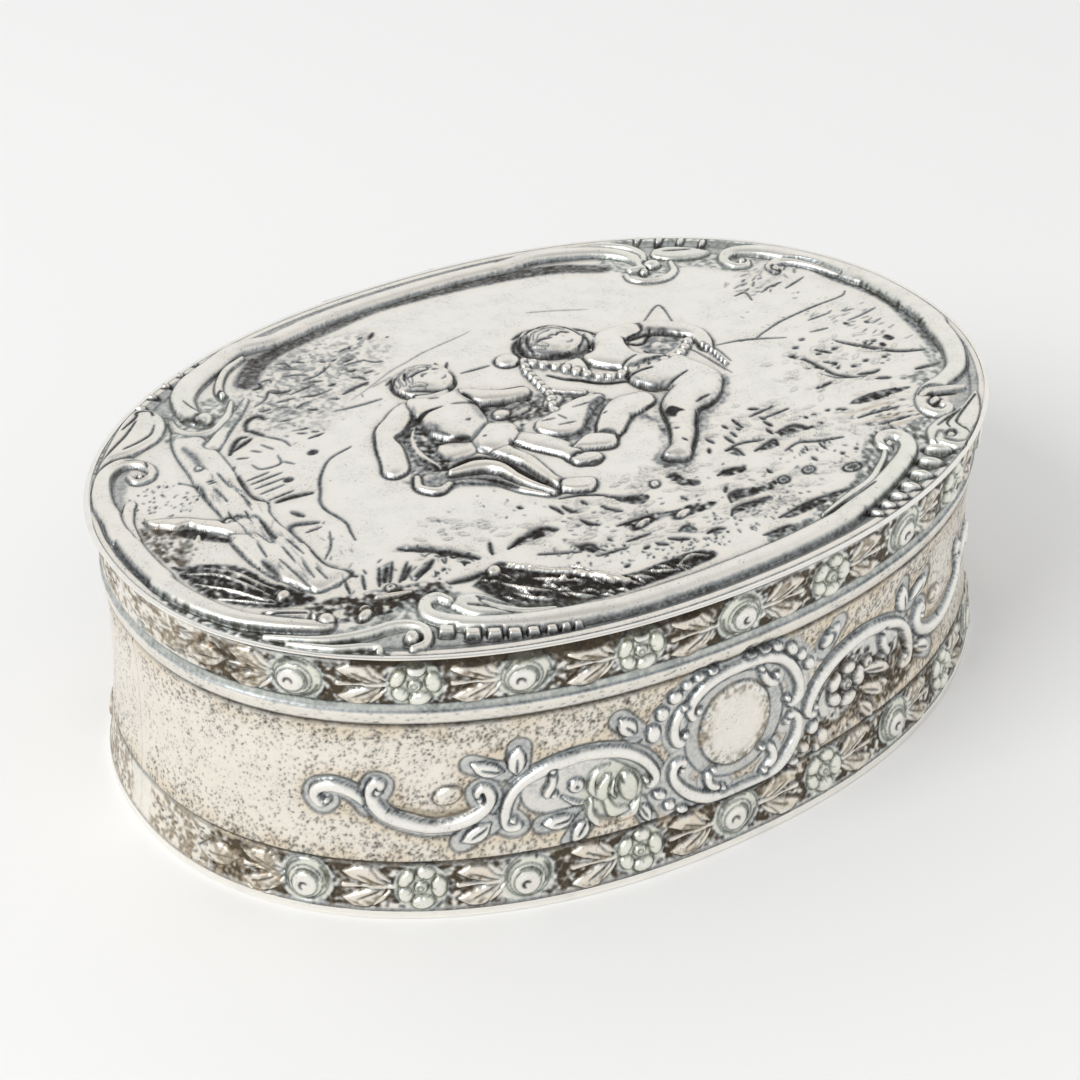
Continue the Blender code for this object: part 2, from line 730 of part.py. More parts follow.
def main():
    """Build the box and hang its pieces on the two empties."""
    clear_scene()
    parts = new_collection("silver_box")
    cutters = new_collection("cutters")
    embossed = metal("embossed_silver", (0.78, 0.76, 0.72), 0.35)
    polished = metal("polished_silver", (0.88, 0.87, 0.83), 0.18)
    gilt = metal("gilt_inside", (0.83, 0.68, 0.40), 0.30)
    hinge = metal("hinge_silver", (0.70, 0.69, 0.66), 0.30)

    walls = [make_wall("wall_front", math.pi, parts, cutters, embossed),
             make_wall("wall_back", 0, parts, cutters, embossed)]
    base = make_base(parts, polished)
    bezel = make_bezel(parts, gilt)
    sheet = make_lid_sheet(parts, cutters, embossed)
    rim = make_rim(parts, polished)
    knuckles = make_knuckles(parts, hinge)
    pin = make_pin(parts, hinge)
    box_bearer, lid_bearer = make_bearers(parts, cutters, hinge)

    box_frame = make_pivot("box_frame", (0, 0, 0), parts)
    lid_pivot = make_pivot("lid_pivot", (0, HINGE_Y, HINGE_Z), parts)
    hang_on(box_frame, walls + [base, bezel, box_bearer, pin] + knuckles[0::2])
    hang_on(lid_pivot, [sheet, rim, lid_bearer] + knuckles[1::2])


main()
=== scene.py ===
"""Oval embossed silver keepsake box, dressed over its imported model."""

import math

import bmesh
import bpy
import numpy as np
from mathutils import Matrix, Vector


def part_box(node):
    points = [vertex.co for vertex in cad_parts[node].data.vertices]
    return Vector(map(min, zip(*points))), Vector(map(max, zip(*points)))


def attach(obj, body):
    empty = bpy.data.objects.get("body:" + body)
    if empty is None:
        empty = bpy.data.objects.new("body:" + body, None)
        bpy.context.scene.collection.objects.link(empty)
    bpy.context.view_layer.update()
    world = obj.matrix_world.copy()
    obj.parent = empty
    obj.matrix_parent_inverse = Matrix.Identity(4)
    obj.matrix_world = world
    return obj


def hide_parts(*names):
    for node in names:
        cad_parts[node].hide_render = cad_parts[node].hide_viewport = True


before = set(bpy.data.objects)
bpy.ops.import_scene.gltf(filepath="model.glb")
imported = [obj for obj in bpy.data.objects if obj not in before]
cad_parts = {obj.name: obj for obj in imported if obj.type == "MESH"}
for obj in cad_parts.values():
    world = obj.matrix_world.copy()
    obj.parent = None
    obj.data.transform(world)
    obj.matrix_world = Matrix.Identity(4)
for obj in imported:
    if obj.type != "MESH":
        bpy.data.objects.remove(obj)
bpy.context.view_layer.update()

bl_info = {
    "name": "Embossed silver box",
    "version": (1, 0, 0),
    "blender": (4, 5, 0),
    "location": "3D View > Sidebar > Silver Box",
    "description": "Builds an oval embossed silver box with a hinged lid",
    "category": "Add Mesh",
}

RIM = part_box("lid_rim")
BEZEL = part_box("mouth_bezel")
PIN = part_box("hinge_pin")
KNUCKLES = ("box_knuckle_left", "lid_knuckle_left", "box_knuckle_middle",
            "lid_knuckle_right", "box_knuckle_right")


# Settings.

def length(name, description, default):
    """A length that a user would change."""
    return bpy.props.FloatProperty(name=name, description=description, default=default, unit="LENGTH")


def number(name, description, default):
    """A plain number that a user would change."""
    return bpy.props.FloatProperty(name=name, description=description, default=default)


def colour(name, description, default):
    """A colour that a user would change."""
    return bpy.props.FloatVectorProperty(name=name, description=description, default=default,
                                         subtype="COLOR")


class SilverBoxSizes(bpy.types.PropertyGroup):
    """Sizes that a user would change."""
    length: length("Length", "Length of the oval of the lid's edge", RIM[1][0] - RIM[0][0])
    width: length("Width", "Width of the oval of the lid's edge", RIM[1][1] - RIM[0][1])
    roundness: number("Roundness", "Exponent of the oval: 2 is an ellipse", 2.15)
    dome: length("Dome", "Rise of the lid's field over its border", 0.0012)
    relief: number("Relief", "Share of the full height of the embossing", 1.0)
    cell: length("Cell", "Spacing of the lines on which the relief is drawn", 0.00008)


class SilverBoxColours(bpy.types.PropertyGroup):
    """Colours that a user would change."""
    silver: colour("Silver", "Worn bright silver", (0.955, 0.935, 0.88))
    # Grey and the dark patina colour also colour the painted shade and shadows drawn on the relief.
    grey: colour("Grey film", "Thin patina on slopes", (0.37, 0.395, 0.405))
    patina: colour("Patina", "Dark patina in the hollows", (0.033, 0.028, 0.025))
    brown: colour("Brown tarnish", "Warm tarnish round the ornament", (0.74, 0.56, 0.33))
    green: colour("Green film", "Pale yellow green film on the flowers", (0.74, 0.765, 0.60))
    gilding: colour("Gilding", "Worn gilding of the inside", (0.80, 0.62, 0.34))
    floor: colour("Floor", "Pale studio floor", (0.88, 0.88, 0.875))


def sizes():
    """The sizes set on the scene."""
    return bpy.context.scene.silver_box_sizes


def tone(name, share=1.0):
    """A colour set on the scene, darkened to a share of itself."""
    return tuple(share * part for part in getattr(bpy.context.scene.silver_box_colours, name))


MM = 0.001

# Places and sizes on the lid, in millimetres.

LID_BOARD = (-48, 48, -34.6, 34.6)
BORDER = 5.2
FRAME_INSET, FRAME_SWING = 3.3, 0.85
CREST_LEAN = (0.4, 0.6)
BELOW_WIRE = 0.1
LID_SKIN, LID_GAP, GILT_SKIN = 0.14, 0.25, 0.12
WIRE = 0.46

# Places and sizes on the walls, in millimetres along the wall from its middle and up from the table.

WALL_BOARD = (-68, 68, -0.5, 29.5)
FOOT, WAIST, MOUTH, TOP = 0.95, 6.0, 21.5, 28.8
FOOT_BAND, MOUTH_BAND = 3.45, 26.15
DIE_MIDDLE = -1.5
PLATE = (-1.4, 13.75)
WALL_INSET = 0.9
SEAM = 0.06
WALL_SKIN, LINING_FACE, LINING_BACK = 0.36, 0.5, 0.41

# How deep a ditch is round a form, how far it spreads and how dark it is.

LIMB = dict(ditch=0.14, spread=0.3, patina_and_shade=0.9)
TRUNK = dict(ditch=0.08, spread=0.2, patina_and_shade=0.75)
CLOTH = dict(ditch=0.08, spread=0.2, patina_and_shade=0.8)
BELLY = dict(ditch=0.08, spread=0.25, patina_and_shade=0.6)
SCROLL = dict(ditch=0.12, spread=0.22, patina_and_shade=0.66)
SPRIG = dict(ditch=0.07, spread=0.17, patina_and_shade=0.75)
ORNAMENT = dict(ditch=0.12, spread=0.2, patina_and_shade=0.72)
PETAL = dict(ditch=0.12, spread=0.2, patina_and_shade=0.55)


# Lines, outlines and fields.

def halves(offset):
    """Half the length and half the width of the lid's oval, moved out by an offset."""
    return sizes().length / MM / 2 + offset, sizes().width / MM / 2 + offset


def oval(angle, offset=0.0):
    """Points of the lid's oval, moved out by an offset, in millimetres."""
    power = 2 / sizes().roundness
    across, along = np.cos(angle), np.sin(angle)
    half_length, half_width = halves(offset)
    return (half_length * np.sign(across) * np.abs(across) ** power,
            half_width * np.sign(along) * np.abs(along) ** power)


def oval_share(x, y, offset=0.0):
    """How far out a point lies: 0 in the middle, 1 on the oval moved by an offset."""
    half_length, half_width = halves(offset)
    power = sizes().roundness
    return (np.abs(x / half_length) ** power + np.abs(y / half_width) ** power) ** (1 / power)


def inset_of(x, y, deepest=9.0):
    """How far inside the lid's oval points lie, up to a deepest value."""
    low = np.full(np.shape(x), -2.0)
    high = np.full(np.shape(x), deepest)
    for _ in range(13):
        middle = (low + high) / 2
        inside = oval_share(x, y, -middle) < 1
        low = np.where(inside, middle, low)
        high = np.where(inside, high, middle)
    return (low + high) / 2


def dome_height(x, y):
    """The height of the lid's smooth field over its border, in millimetres."""
    share = np.minimum(oval_share(x, y, -BORDER), 1)
    return sizes().dome / MM * (1 - share ** 2)


def soften(values, spread):
    """A field blurred by a Gaussian of a spread in cells."""
    rows, columns = values.shape
    pad = int(3 * spread) + 2
    wide = np.pad(values, pad, mode="edge")
    down = np.fft.fftfreq(wide.shape[0])[:, None]
    right = np.fft.rfftfreq(wide.shape[1])[None, :]
    fade = np.exp(-2 * (math.pi * spread) ** 2 * (down ** 2 + right ** 2))
    wide = np.fft.irfft2(np.fft.rfft2(wide) * fade, wide.shape)
    return wide[pad:pad + rows, pad:pad + columns]


def smooth_path(points, gap=0.18):
    """A soft curve through points, with a point about every gap."""
    points = np.asarray(points, float)
    if len(points) < 3:
        return points
    ends = np.vstack([2 * points[0] - points[1], points, 2 * points[-1] - points[-2]])
    path = []
    for before, start, end, after in zip(ends, ends[1:], ends[2:], ends[3:]):
        count = max(2, int(math.dist(start, end) / gap))
        share = np.linspace(0, 1, count, endpoint=False)[:, None]
        path.append(0.5 * (2 * start + (end - before) * share
                           + (2 * before - 5 * start + 4 * end - after) * share ** 2
                           + (3 * start - before - 3 * end + after) * share ** 3))
    path.append(points[-1:])
    return np.vstack(path)


def within(path, x, y):
    """Whether points lie inside a closed path."""
    inside = np.zeros(np.broadcast(x, y).shape, bool)
    for (x0, y0), (x1, y1) in zip(path, path[1:]):
        if y0 != y1:
            inside ^= ((y0 > y) != (y1 > y)) & (x < (x1 - x0) * (y - y0) / (y1 - y0) + x0)
    return inside


def block(left, low, right, high):
    """The corners of a rectangle."""
    return [(left, low), (right, low), (right, high), (left, high)]


def ring(x, y, radius, first=0, last=350):
    """Points on part of a circle, angles in degrees."""
    angle = np.radians(np.linspace(first, last, max(5, int(abs(last - first) / 15))))
    return [(x + radius * math.cos(a), y + radius * math.sin(a)) for a in angle]


# The board for the relief.

class Board:
    """A board on which relief is drawn, in millimetres: heights, patina together with painted shade, and
    warm film.
    """

    def __init__(self, left, right, low, high):
        cell = sizes().cell / MM
        self.cell, self.left, self.low = cell, left, low
        self.x = left + cell * np.arange(round((right - left) / cell) + 1)
        self.y = low + cell * np.arange(round((high - low) / cell) + 1)
        shape = (len(self.y), len(self.x))
        self.height, self.patina_and_shade, self.warm = (np.zeros(shape) for _ in range(3))

    def window(self, low, high):
        """The part of the board between two corners."""
        first = [int((low[axis] - (self.left, self.low)[axis]) / self.cell) for axis in (0, 1)]
        last = [int((high[axis] - (self.left, self.low)[axis]) / self.cell) + 2 for axis in (0, 1)]
        return (slice(max(first[1], 0), max(last[1], 0)), slice(max(first[0], 0), max(last[0], 0)))

    def trace(self, path, reach):
        """The window round a path with each point's distance and its share along the path."""
        path = np.asarray(path, float)
        window = self.window(path.min(0) - reach, path.max(0) + reach)
        x, y = self.x[window[1]][None, :], self.y[window[0]][:, None]
        distance, share = np.full((y.size, x.size), 1e3), np.zeros((y.size, x.size))
        lengths = np.hypot(*np.diff(path, axis=0).T)
        total, done = lengths.sum(), 0.0
        for start, end, length in zip(path, path[1:], lengths):
            if length < 1e-9:
                continue
            near = self.window(np.minimum(start, end) - reach, np.maximum(start, end) + reach)
            rows, columns = (slice(max(part.start - whole.start, 0), max(part.stop - whole.start, 0))
                             for part, whole in zip(near, window))
            dx, dy = (end - start) / length
            px, py = x[:, columns] - start[0], y[rows] - start[1]
            along = np.clip(px * dx + py * dy, 0, length)
            gap = np.hypot(px - along * dx, py - along * dy)
            nearer = gap < distance[rows, columns]
            distance[rows, columns][nearer] = gap[nearer]
            share[rows, columns][nearer] = ((done + along) / total)[nearer]
            done += length
        return window, distance, share

    def region(self, outline, reach, soft):
        """The window round an outline with each point's depth in it, negative outside."""
        path = smooth_path([*outline, outline[0]]) if soft else np.array([*outline, outline[0]])
        window, distance, _ = self.trace(path, reach)
        inside = within(path, self.x[window[1]][None, :], self.y[window[0]][:, None])
        return window, np.where(inside, distance, -distance)

    def form(self, window, depth, rise, rounding, base, ditch, spread, patina_and_shade, flat=0.0):
        """Raise what lies at a depth over 0, with a darkened ditch round it."""
        area = self.height[window]
        outside = np.exp(-(np.minimum(depth, 0) / spread) ** 2)
        if ditch or patina_and_shade:
            around = np.where(depth < 0, outside, 1)
            area -= ditch * around * (depth < 0)
            self.patina_and_shade[window] = np.maximum(self.patina_and_shade[window], patina_and_shade * around * (depth < 0.5 * self.cell))
        lift = np.clip(depth / rounding, 0, 1)
        profile = rise * np.sqrt(1 - (1 - lift) ** 2)
        inside = depth > 0
        if base is None:
            area += profile * inside
        else:
            area[inside] = np.maximum(area[inside] * flat, (base + profile)[inside])
        clean = np.clip(depth / (0.35 * rounding + 1e-6), 0, 1)
        self.patina_and_shade[window] *= np.where(inside, 1 - clean, 1)

    def tube(self, points, widths, rise, base=0.0, ditch=0.12, spread=0.28, patina_and_shade=0.75, soft=True):
        """A half-round strand along points; widths are half widths, spread along it."""
        path = smooth_path(points) if soft else np.asarray(points, float)
        widths = np.atleast_1d(np.asarray(widths, float))
        widest = widths.max()
        window, distance, share = self.trace(path, widest + 3 * spread)
        width = np.interp(share, np.linspace(0, 1, len(widths)), widths)
        scale = np.sqrt(width / widest)
        self.form(window, width - distance, rise * scale, np.maximum(width, 0.02), base, ditch,
                  spread, patina_and_shade)

    def blob(self, x, y, long, short, turn, rise, base=0.0, ditch=0.1, spread=0.22, patina_and_shade=0.7):
        """A round or oval boss, turned by degrees."""
        reach = max(long, short) + 3 * spread
        window = self.window((x - reach, y - reach), (x + reach, y + reach))
        px, py = self.x[window[1]][None, :] - x, self.y[window[0]][:, None] - y
        cosine, sine = math.cos(math.radians(turn)), math.sin(math.radians(turn))
        away = np.hypot((px * cosine + py * sine) / long, (py * cosine - px * sine) / short)
        self.form(window, (1 - away) * min(long, short), rise, min(long, short), base, ditch,
                  spread, patina_and_shade)

    def shape(self, outline, rise, rounding, base=0.0, ditch=0.12, spread=0.28, patina_and_shade=0.75,
              soft=True, flat=0.0):
        """A closed outline filled and raised, rounded towards its edge."""
        window, depth = self.region(outline, rounding + 3 * spread, soft)
        self.form(window, depth, rise, rounding, base, ditch, spread, patina_and_shade, flat)

    def cut(self, points, width=0.13, depth=0.12, patina_and_shade=0.85):
        """An engraved line, dark at its bottom and finer towards its ends."""
        window, distance, share = self.trace(smooth_path(points), 2.6 * width)
        local = width * (0.45 + 0.55 * np.sqrt(np.sin(math.pi * np.clip(share, 0.02, 0.98))))
        line = np.exp(-(distance / local) ** 2 * 0.9)
        self.height[window] -= depth * line
        self.patina_and_shade[window] = np.maximum(self.patina_and_shade[window], patina_and_shade * line)

    def cuts(self, lines, width=0.14, depth=0.1, patina_and_shade=0.85):
        """Several engraved lines of one kind."""
        for line in lines:
            self.cut(line, width, depth, patina_and_shade)

    def stain_and_shade(self, outline, patina_and_shade=0.6, warm=0.0, spread=0.5, soft=True, grain=0.0, seed=1,
              clean=False):
        """Darkness for patina and for painted shade, and film, over a closed outline, fading over a
        spread, blotchy by a grain.
        """
        window, depth = self.region(outline, 1.5 * spread + 0.2, soft)
        weight = np.clip(0.5 + depth / spread, 0, 1)
        if grain:
            noise = soften(np.random.default_rng(seed).normal(size=weight.shape), 0.16 / self.cell)
            weight = weight * np.clip(1 + grain * noise / noise.std() - 0.5 * grain, 0, 1.4)
        if clean:
            self.patina_and_shade[window] *= 1 - np.clip(weight, 0, 1)
            self.warm[window] *= 1 - np.clip(weight, 0, 1)
        self.patina_and_shade[window] = np.maximum(self.patina_and_shade[window], np.clip(patina_and_shade * weight, 0, 1))
        film = warm * np.clip(weight, 0, 1)
        worn = np.abs(film) > np.abs(self.warm[window])
        self.warm[window] = np.where(worn, film, self.warm[window])

    def dashes(self, outline, count, length, turn, wander, seed, width=0.12, patina_and_shade=0.7, depth=0.07,
               rise=0.0):
        """Short strokes scattered in an outline, punched, or raised where there is a rise."""
        random = np.random.default_rng(seed)
        path = np.array([*outline, outline[0]], float)
        placed, tries = 0, 0
        while placed < count and tries < 40 * count:
            tries += 1
            here = random.uniform(path.min(0), path.max(0))
            if not within(path, *here):
                continue
            placed += 1
            angle = math.radians(turn + random.normal() * wander)
            reach = length * random.uniform(0.5, 1.2) / 2
            step = np.array([math.cos(angle), math.sin(angle)]) * reach
            line = [here - step, here, here + step]
            size, dark = width * random.uniform(0.7, 1.25), patina_and_shade * random.uniform(0.5, 1.15)
            if rise:
                self.tube(line, [0.1 * size, size, 0.2 * size], rise, base=None, ditch=0.5 * rise,
                          spread=0.14, patina_and_shade=dark)
            else:
                self.cut(line, size, depth, dark)

    def finish(self, blur=0.7):
        """Soften the drawing a little and darken its hollows."""
        self.height = soften(self.height, blur) * sizes().relief
        for spread, gain in ((0.35, 2.2), (1.1, 0.9)):
            hollow = soften(self.height, spread / self.cell) - self.height
            self.patina_and_shade = np.maximum(self.patina_and_shade, np.clip(hollow * gain - 0.06, 0, 0.8))
        self.patina_and_shade = np.clip(soften(self.patina_and_shade, 0.5 * blur), 0, 1)
        self.warm = np.clip(soften(self.warm, 2.0), -1, 1)

    def read(self, values, x, y):
        """Values of the board at points, between its lines."""
        column = np.clip((np.asarray(x) - self.left) / self.cell, 0, len(self.x) - 1.001)
        row = np.clip((np.asarray(y) - self.low) / self.cell, 0, len(self.y) - 1.001)
        left, below = column.astype(int), row.astype(int)
        across, up = column - left, row - below
        lower = values[below, left] * (1 - across) + values[below, left + 1] * across
        upper = values[below + 1, left] * (1 - across) + values[below + 1, left + 1] * across
        return lower * (1 - up) + upper * up


# Finishes.

class Value:
    """A node socket that takes part in Python expressions."""

    def __init__(self, finish, socket):
        self.finish, self.socket = finish, socket

    def maths(self, operation, *others):
        """A Math node on this value and others."""
        return self.finish.node("ShaderNodeMath", {"operation": operation},
                                dict(enumerate((self, *others))))

    def __add__(self, other):
        return self.maths("ADD", other)

    def __rsub__(self, other):
        return self.maths("MULTIPLY_ADD", -1.0, other)

    def __mul__(self, other):
        return self.maths("MULTIPLY", other)

    def between(self, low, high):
        """This value's place between two ends, kept from 0 to 1."""
        return self.finish.node("ShaderNodeMapRange", {"clamp": True},
                                {"Value": self, "From Min": low, "From Max": high})


class Finish:
    """A procedural material on one Principled shader."""

    def __init__(self, name, **constants):
        self.material = bpy.data.materials.new(name)
        self.material.use_nodes = True
        self.tree = self.material.node_tree
        self.shader = self.tree.nodes["Principled BSDF"]
        for socket, value in constants.items():
            self.shader.inputs[socket.replace("_", " ")].default_value = value
        self.place = self.node("ShaderNodeTexCoord", output="Object")

    def node(self, kind, settings=None, values=None, output=0):
        """A node with its settings made and its sockets given values or links."""
        node = self.tree.nodes.new(kind)
        for name, value in (settings or {}).items():
            if name == "stops":
                ramp = node.color_ramp
                while len(ramp.elements) < len(value):
                    ramp.elements.new(0.5)
                for element, (position, colour) in zip(ramp.elements, value):
                    element.position, element.color = position, (*colour, 1)
            else:
                setattr(node, name, value)
        for name, value in (values or {}).items():
            if isinstance(value, Value):
                self.tree.links.new(value.socket, node.inputs[name])
            elif value is not None:
                node.inputs[name].default_value = value
        return Value(self, node.outputs[output])

    def noise(self, scale, detail=4.0, roughness=0.55, stretch=None):
        """Cloudy noise in object space, about 1 / scale metres across."""
        place = self.place
        if stretch:
            place = self.node("ShaderNodeMapping", None, {"Vector": place, "Scale": stretch})
        return self.node("ShaderNodeTexNoise", None, {"Vector": place, "Scale": scale,
                                                     "Detail": detail, "Roughness": roughness})

    def attribute(self, name):
        """A number kept on the mesh."""
        return self.node("ShaderNodeAttribute", {"attribute_name": name}, output="Fac")

    def mix(self, share, first, second):
        """Two colours mixed by a share."""
        fill = {6: (*first, 1) if isinstance(first, tuple) else first,
                7: (*second, 1) if isinstance(second, tuple) else second, 0: share}
        return self.node("ShaderNodeMix", {"data_type": "RGBA"}, fill, output=2)

    def give(self, **links):
        """Link values to the shader's sockets."""
        for socket, value in links.items():
            self.tree.links.new(value.socket, self.shader.inputs[socket.replace("_", " ")])
        return self.material

    def bump(self, height, distance, strength=1.0):
        """A normal from a height."""
        return self.node("ShaderNodeBump", None, {"Height": height, "Distance": distance,
                                                  "Strength": strength})


def embossed_silver():
    """Worn embossed silver: cream on the heights, grey films, dark patina in the hollows, and the painted
    shade of the drawing in the same greys and darks.
    """
    finish = Finish("embossed_silver", Metallic=1.0)
    cloud = finish.noise(420, 5)
    fine = finish.noise(2600, 3, 0.6)
    specks = finish.noise(5200, 2, 0.5)
    # This darkness holds real patina and painted shade alike.
    patina_and_shade = finish.attribute("patina")
    warm = finish.attribute("warmth")
    crowd = specks + warm.maths("MAXIMUM", 0.0) * 0.14
    pits = crowd.between(0.64, 0.73) * cloud.between(0.4, 0.6) * 0.6
    film = fine.between(0.4, 0.8) * cloud.between(0.38, 0.7) * 0.2 + cloud.between(0.45, 0.8) * 0.05
    dark = patina_and_shade * (cloud * 0.35 + fine * 0.9 + 0.4)
    dark = (dark + film).maths("MAXIMUM", pits).maths("MINIMUM", 1.0)
    deep = tuple(0.25 * a + 0.75 * b for a, b in zip(tone("grey"), tone("patina")))
    shade = finish.node("ShaderNodeValToRGB", {"stops": [
        (0.0, tone("silver")), (0.14, tone("silver", 0.86)), (0.42, tone("grey")), (0.72, deep),
        (1.0, tone("patina"))]}, {"Fac": dark})
    thin = 0.8 - dark * 0.6
    shade = finish.mix((warm * thin).maths("MAXIMUM", 0.0), shade, tone("brown"))
    shade = finish.mix((warm * thin * -0.9).maths("MAXIMUM", 0.0), shade, tone("green"))
    return finish.give(
        Base_Color=shade, Roughness=(dark * 0.22 + cloud * 0.14 + 0.22).maths("MINIMUM", 0.6),
        Normal=finish.bump(fine * 0.5 + specks * 0.5, 0.00002, 0.5))


def polished_silver():
    """Silver rubbed bright by hands, with hairline scratches."""
    finish = Finish("polished_silver", Metallic=1.0)
    cloud = finish.noise(500, 4)
    lines = finish.noise(1400, 3, 0.6, (1.0, 1.0, 9.0))
    shade = finish.mix(cloud.between(0.5, 0.85) * 0.45, tone("silver"), tone("silver", 0.72))
    return finish.give(Base_Color=shade, Roughness=cloud * 0.12 + lines * 0.1 + 0.12,
                       Normal=finish.bump(lines, 0.00001, 0.35))


def gilt_inside():
    """Thin gilding, worn through to silver in places."""
    finish = Finish("gilt_inside", Metallic=1.0)
    cloud = finish.noise(180, 6)
    fine = finish.noise(2400, 4, 0.6)
    shade = finish.mix(cloud.between(0.55, 0.78) * 0.55, tone("gilding"), tone("silver"))
    shade = finish.mix(fine.between(0.6, 0.8) * 0.25, shade, tone("gilding", 0.45))
    return finish.give(Base_Color=shade, Roughness=cloud * 0.2 + fine * 0.12 + 0.16,
                       Normal=finish.bump(fine, 0.00002, 0.4))


def hinge_silver():
    """Plain drawn silver, a little greyer and smudged."""
    finish = Finish("hinge_silver", Metallic=1.0)
    cloud = finish.noise(900, 5)
    lines = finish.noise(3000, 2, 0.5, (0.15, 1.0, 1.0))
    shade = finish.mix(cloud.between(0.45, 0.8) * 0.7, tone("silver", 0.88), tone("grey"))
    return finish.give(Base_Color=shade, Roughness=cloud * 0.2 + lines * 0.15 + 0.15,
                       Normal=finish.bump(lines, 0.00001, 0.5))


FINISHES = {}


def material(name):
    """One of the box's finishes, made when it is first asked for."""
    makers = {"embossed_silver": embossed_silver, "polished_silver": polished_silver,
              "gilt_inside": gilt_inside, "hinge_silver": hinge_silver}
    if name not in FINISHES:
        FINISHES[name] = makers[name]()
    return FINISHES[name]


# Pieces.

def settle(piece, name, body, finish, *nodes):
    """Name a finished piece, give it its finish and hang it on its body."""
    piece.name = piece.data.name = name
    piece.data.materials.clear()
    piece.data.materials.append(material(finish))
    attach(piece, body)
    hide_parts(*nodes)
    return piece


def deselect():
    """Leave edit mode and deselect everything."""
    if bpy.context.object and bpy.context.object.mode != "OBJECT":
        bpy.ops.object.mode_set(mode="OBJECT")
    bpy.ops.object.select_all(action="DESELECT")


def grid_mesh(rows, columns, points):
    """A primitive grid whose vertices are put on given points, row by row."""
    deselect()
    bpy.ops.mesh.primitive_grid_add(x_subdivisions=columns - 1, y_subdivisions=rows - 1, size=2)
    piece = bpy.context.object
    piece.data.vertices.foreach_set("co", (points.reshape(-1, 3) * MM).ravel())
    piece.data.update()
    return piece


def face_normals(points):
    """Smooth normals of a grid of points, from its neighbours in both directions."""
    along = np.gradient(points, axis=1)
    down = np.gradient(points, axis=0)
    normals = np.cross(along, down)
    return normals / np.maximum(np.linalg.norm(normals, axis=2, keepdims=True), 1e-12)


def relief_sheet(face, back, step, normals, marks):
    """A closed sheet: a finely drawn face, a plain back and a band all round.

    Faces look along the normals of the face grid. The back has one point for
    every few of the face's, and polygons join the two round the edge.
    """
    rows, columns = face.shape[:2]
    piece = grid_mesh(rows, columns, face)
    mesh = bmesh.new()
    mesh.from_mesh(piece.data)
    mesh.verts.ensure_lookup_table()
    front = list(mesh.verts)
    rear = [[mesh.verts.new(point * MM) for point in line] for line in back]
    for line, below in zip(rear, rear[1:]):
        for corner in range(len(line) - 1):
            mesh.faces.new((below[corner], below[corner + 1], line[corner + 1], line[corner]))
    last_row, last_column = len(back) - 1, len(back[0]) - 1
    for place in range(last_column):
        span = range(place * step, (place + 1) * step + 1)
        mesh.faces.new([front[c] for c in reversed(span)] + [rear[0][place], rear[0][place + 1]])
        low = (rows - 1) * columns
        mesh.faces.new([front[low + c] for c in span]
                       + [rear[last_row][place + 1], rear[last_row][place]])
    for place in range(last_row):
        span = range(place * step, (place + 1) * step + 1)
        mesh.faces.new([front[r * columns] for r in span] + [rear[place + 1][0], rear[place][0]])
        mesh.faces.new([front[r * columns + columns - 1] for r in reversed(span)]
                       + [rear[place][last_column], rear[place + 1][last_column]])
    mesh.to_mesh(piece.data)
    mesh.free()
    piece.data.shade_smooth()
    count = len(piece.data.vertices)
    directions = np.zeros((count, 3))
    directions[:rows * columns] = normals.reshape(-1, 3)
    directions[rows * columns:] = -normals[::step, ::step].reshape(-1, 3)
    piece.data.normals_split_custom_set_from_vertices(directions)
    for name, values in marks.items():
        layer = piece.data.attributes.new(name, "FLOAT", "POINT")
        full = np.zeros(count, np.float32)
        full[:rows * columns] = values.ravel()
        layer.data.foreach_set("value", full)
    return piece


def lathed(section, steps, place, closed=True):
    """A ring of faces swept from a section; place puts (angle, section corner) in space."""
    deselect()
    bpy.ops.mesh.primitive_circle_add(vertices=steps, radius=1)
    piece = bpy.context.object
    loops = list(section) + ([section[0]] if closed else [])
    bpy.ops.object.mode_set(mode="EDIT")
    bpy.ops.mesh.select_all(action="SELECT")
    for _ in loops[1:]:
        bpy.ops.mesh.extrude_region_move(TRANSFORM_OT_translate={"value": (0, 0, 1)})
    bpy.ops.object.mode_set(mode="OBJECT")
    flat = np.zeros(len(piece.data.vertices) * 3)
    piece.data.vertices.foreach_get("co", flat)
    flat = flat.reshape(-1, 3)
    angle = np.arctan2(flat[:, 1], flat[:, 0])
    corner = np.array(loops, float)[np.rint(flat[:, 2]).astype(int)]
    piece.data.vertices.foreach_set("co", (place(angle, corner) * MM).ravel())
    piece.data.update()
    bpy.ops.object.mode_set(mode="EDIT")
    bpy.ops.mesh.select_all(action="SELECT")
    bpy.ops.mesh.remove_doubles(threshold=0.000002)
    bpy.ops.mesh.normals_make_consistent(inside=False)
    bpy.ops.object.mode_set(mode="OBJECT")
    bpy.ops.object.shade_smooth_by_angle(angle=math.radians(40))
    return piece


def round_the_oval(angle, corner):
    """Section corners of (offset, height, share) put round the oval."""
    x, y = oval(angle, corner[:, 0])
    return np.stack([x * corner[:, 2], y * corner[:, 2], corner[:, 1]], 1)


def round_the_pin(angle, corner):
    """Section corners of (radius, place along X) put round the hinge's pin."""
    y, z = hinge_line()
    return np.stack([corner[:, 1], y + corner[:, 0] * np.cos(angle),
                     z + corner[:, 0] * np.sin(angle)], 1)


def hinge_line():
    """Where the hinge pin lies, seen from its end, in millimetres."""
    return ((PIN[0][1] + PIN[1][1]) / 2 / MM, (PIN[0][2] + PIN[1][2]) / 2 / MM)


# Lid: border and frame.

def frame_path(start, end, extra=0.0):
    """Points along the frame's strand between two angles in degrees."""
    angle = np.radians(np.linspace(start, end, max(6, int(abs(end - start) / 3))))
    inset = FRAME_INSET - FRAME_SWING * np.abs(np.cos(angle)) ** 2 + extra
    x, y = oval(angle, -inset)
    return list(zip(x, y))


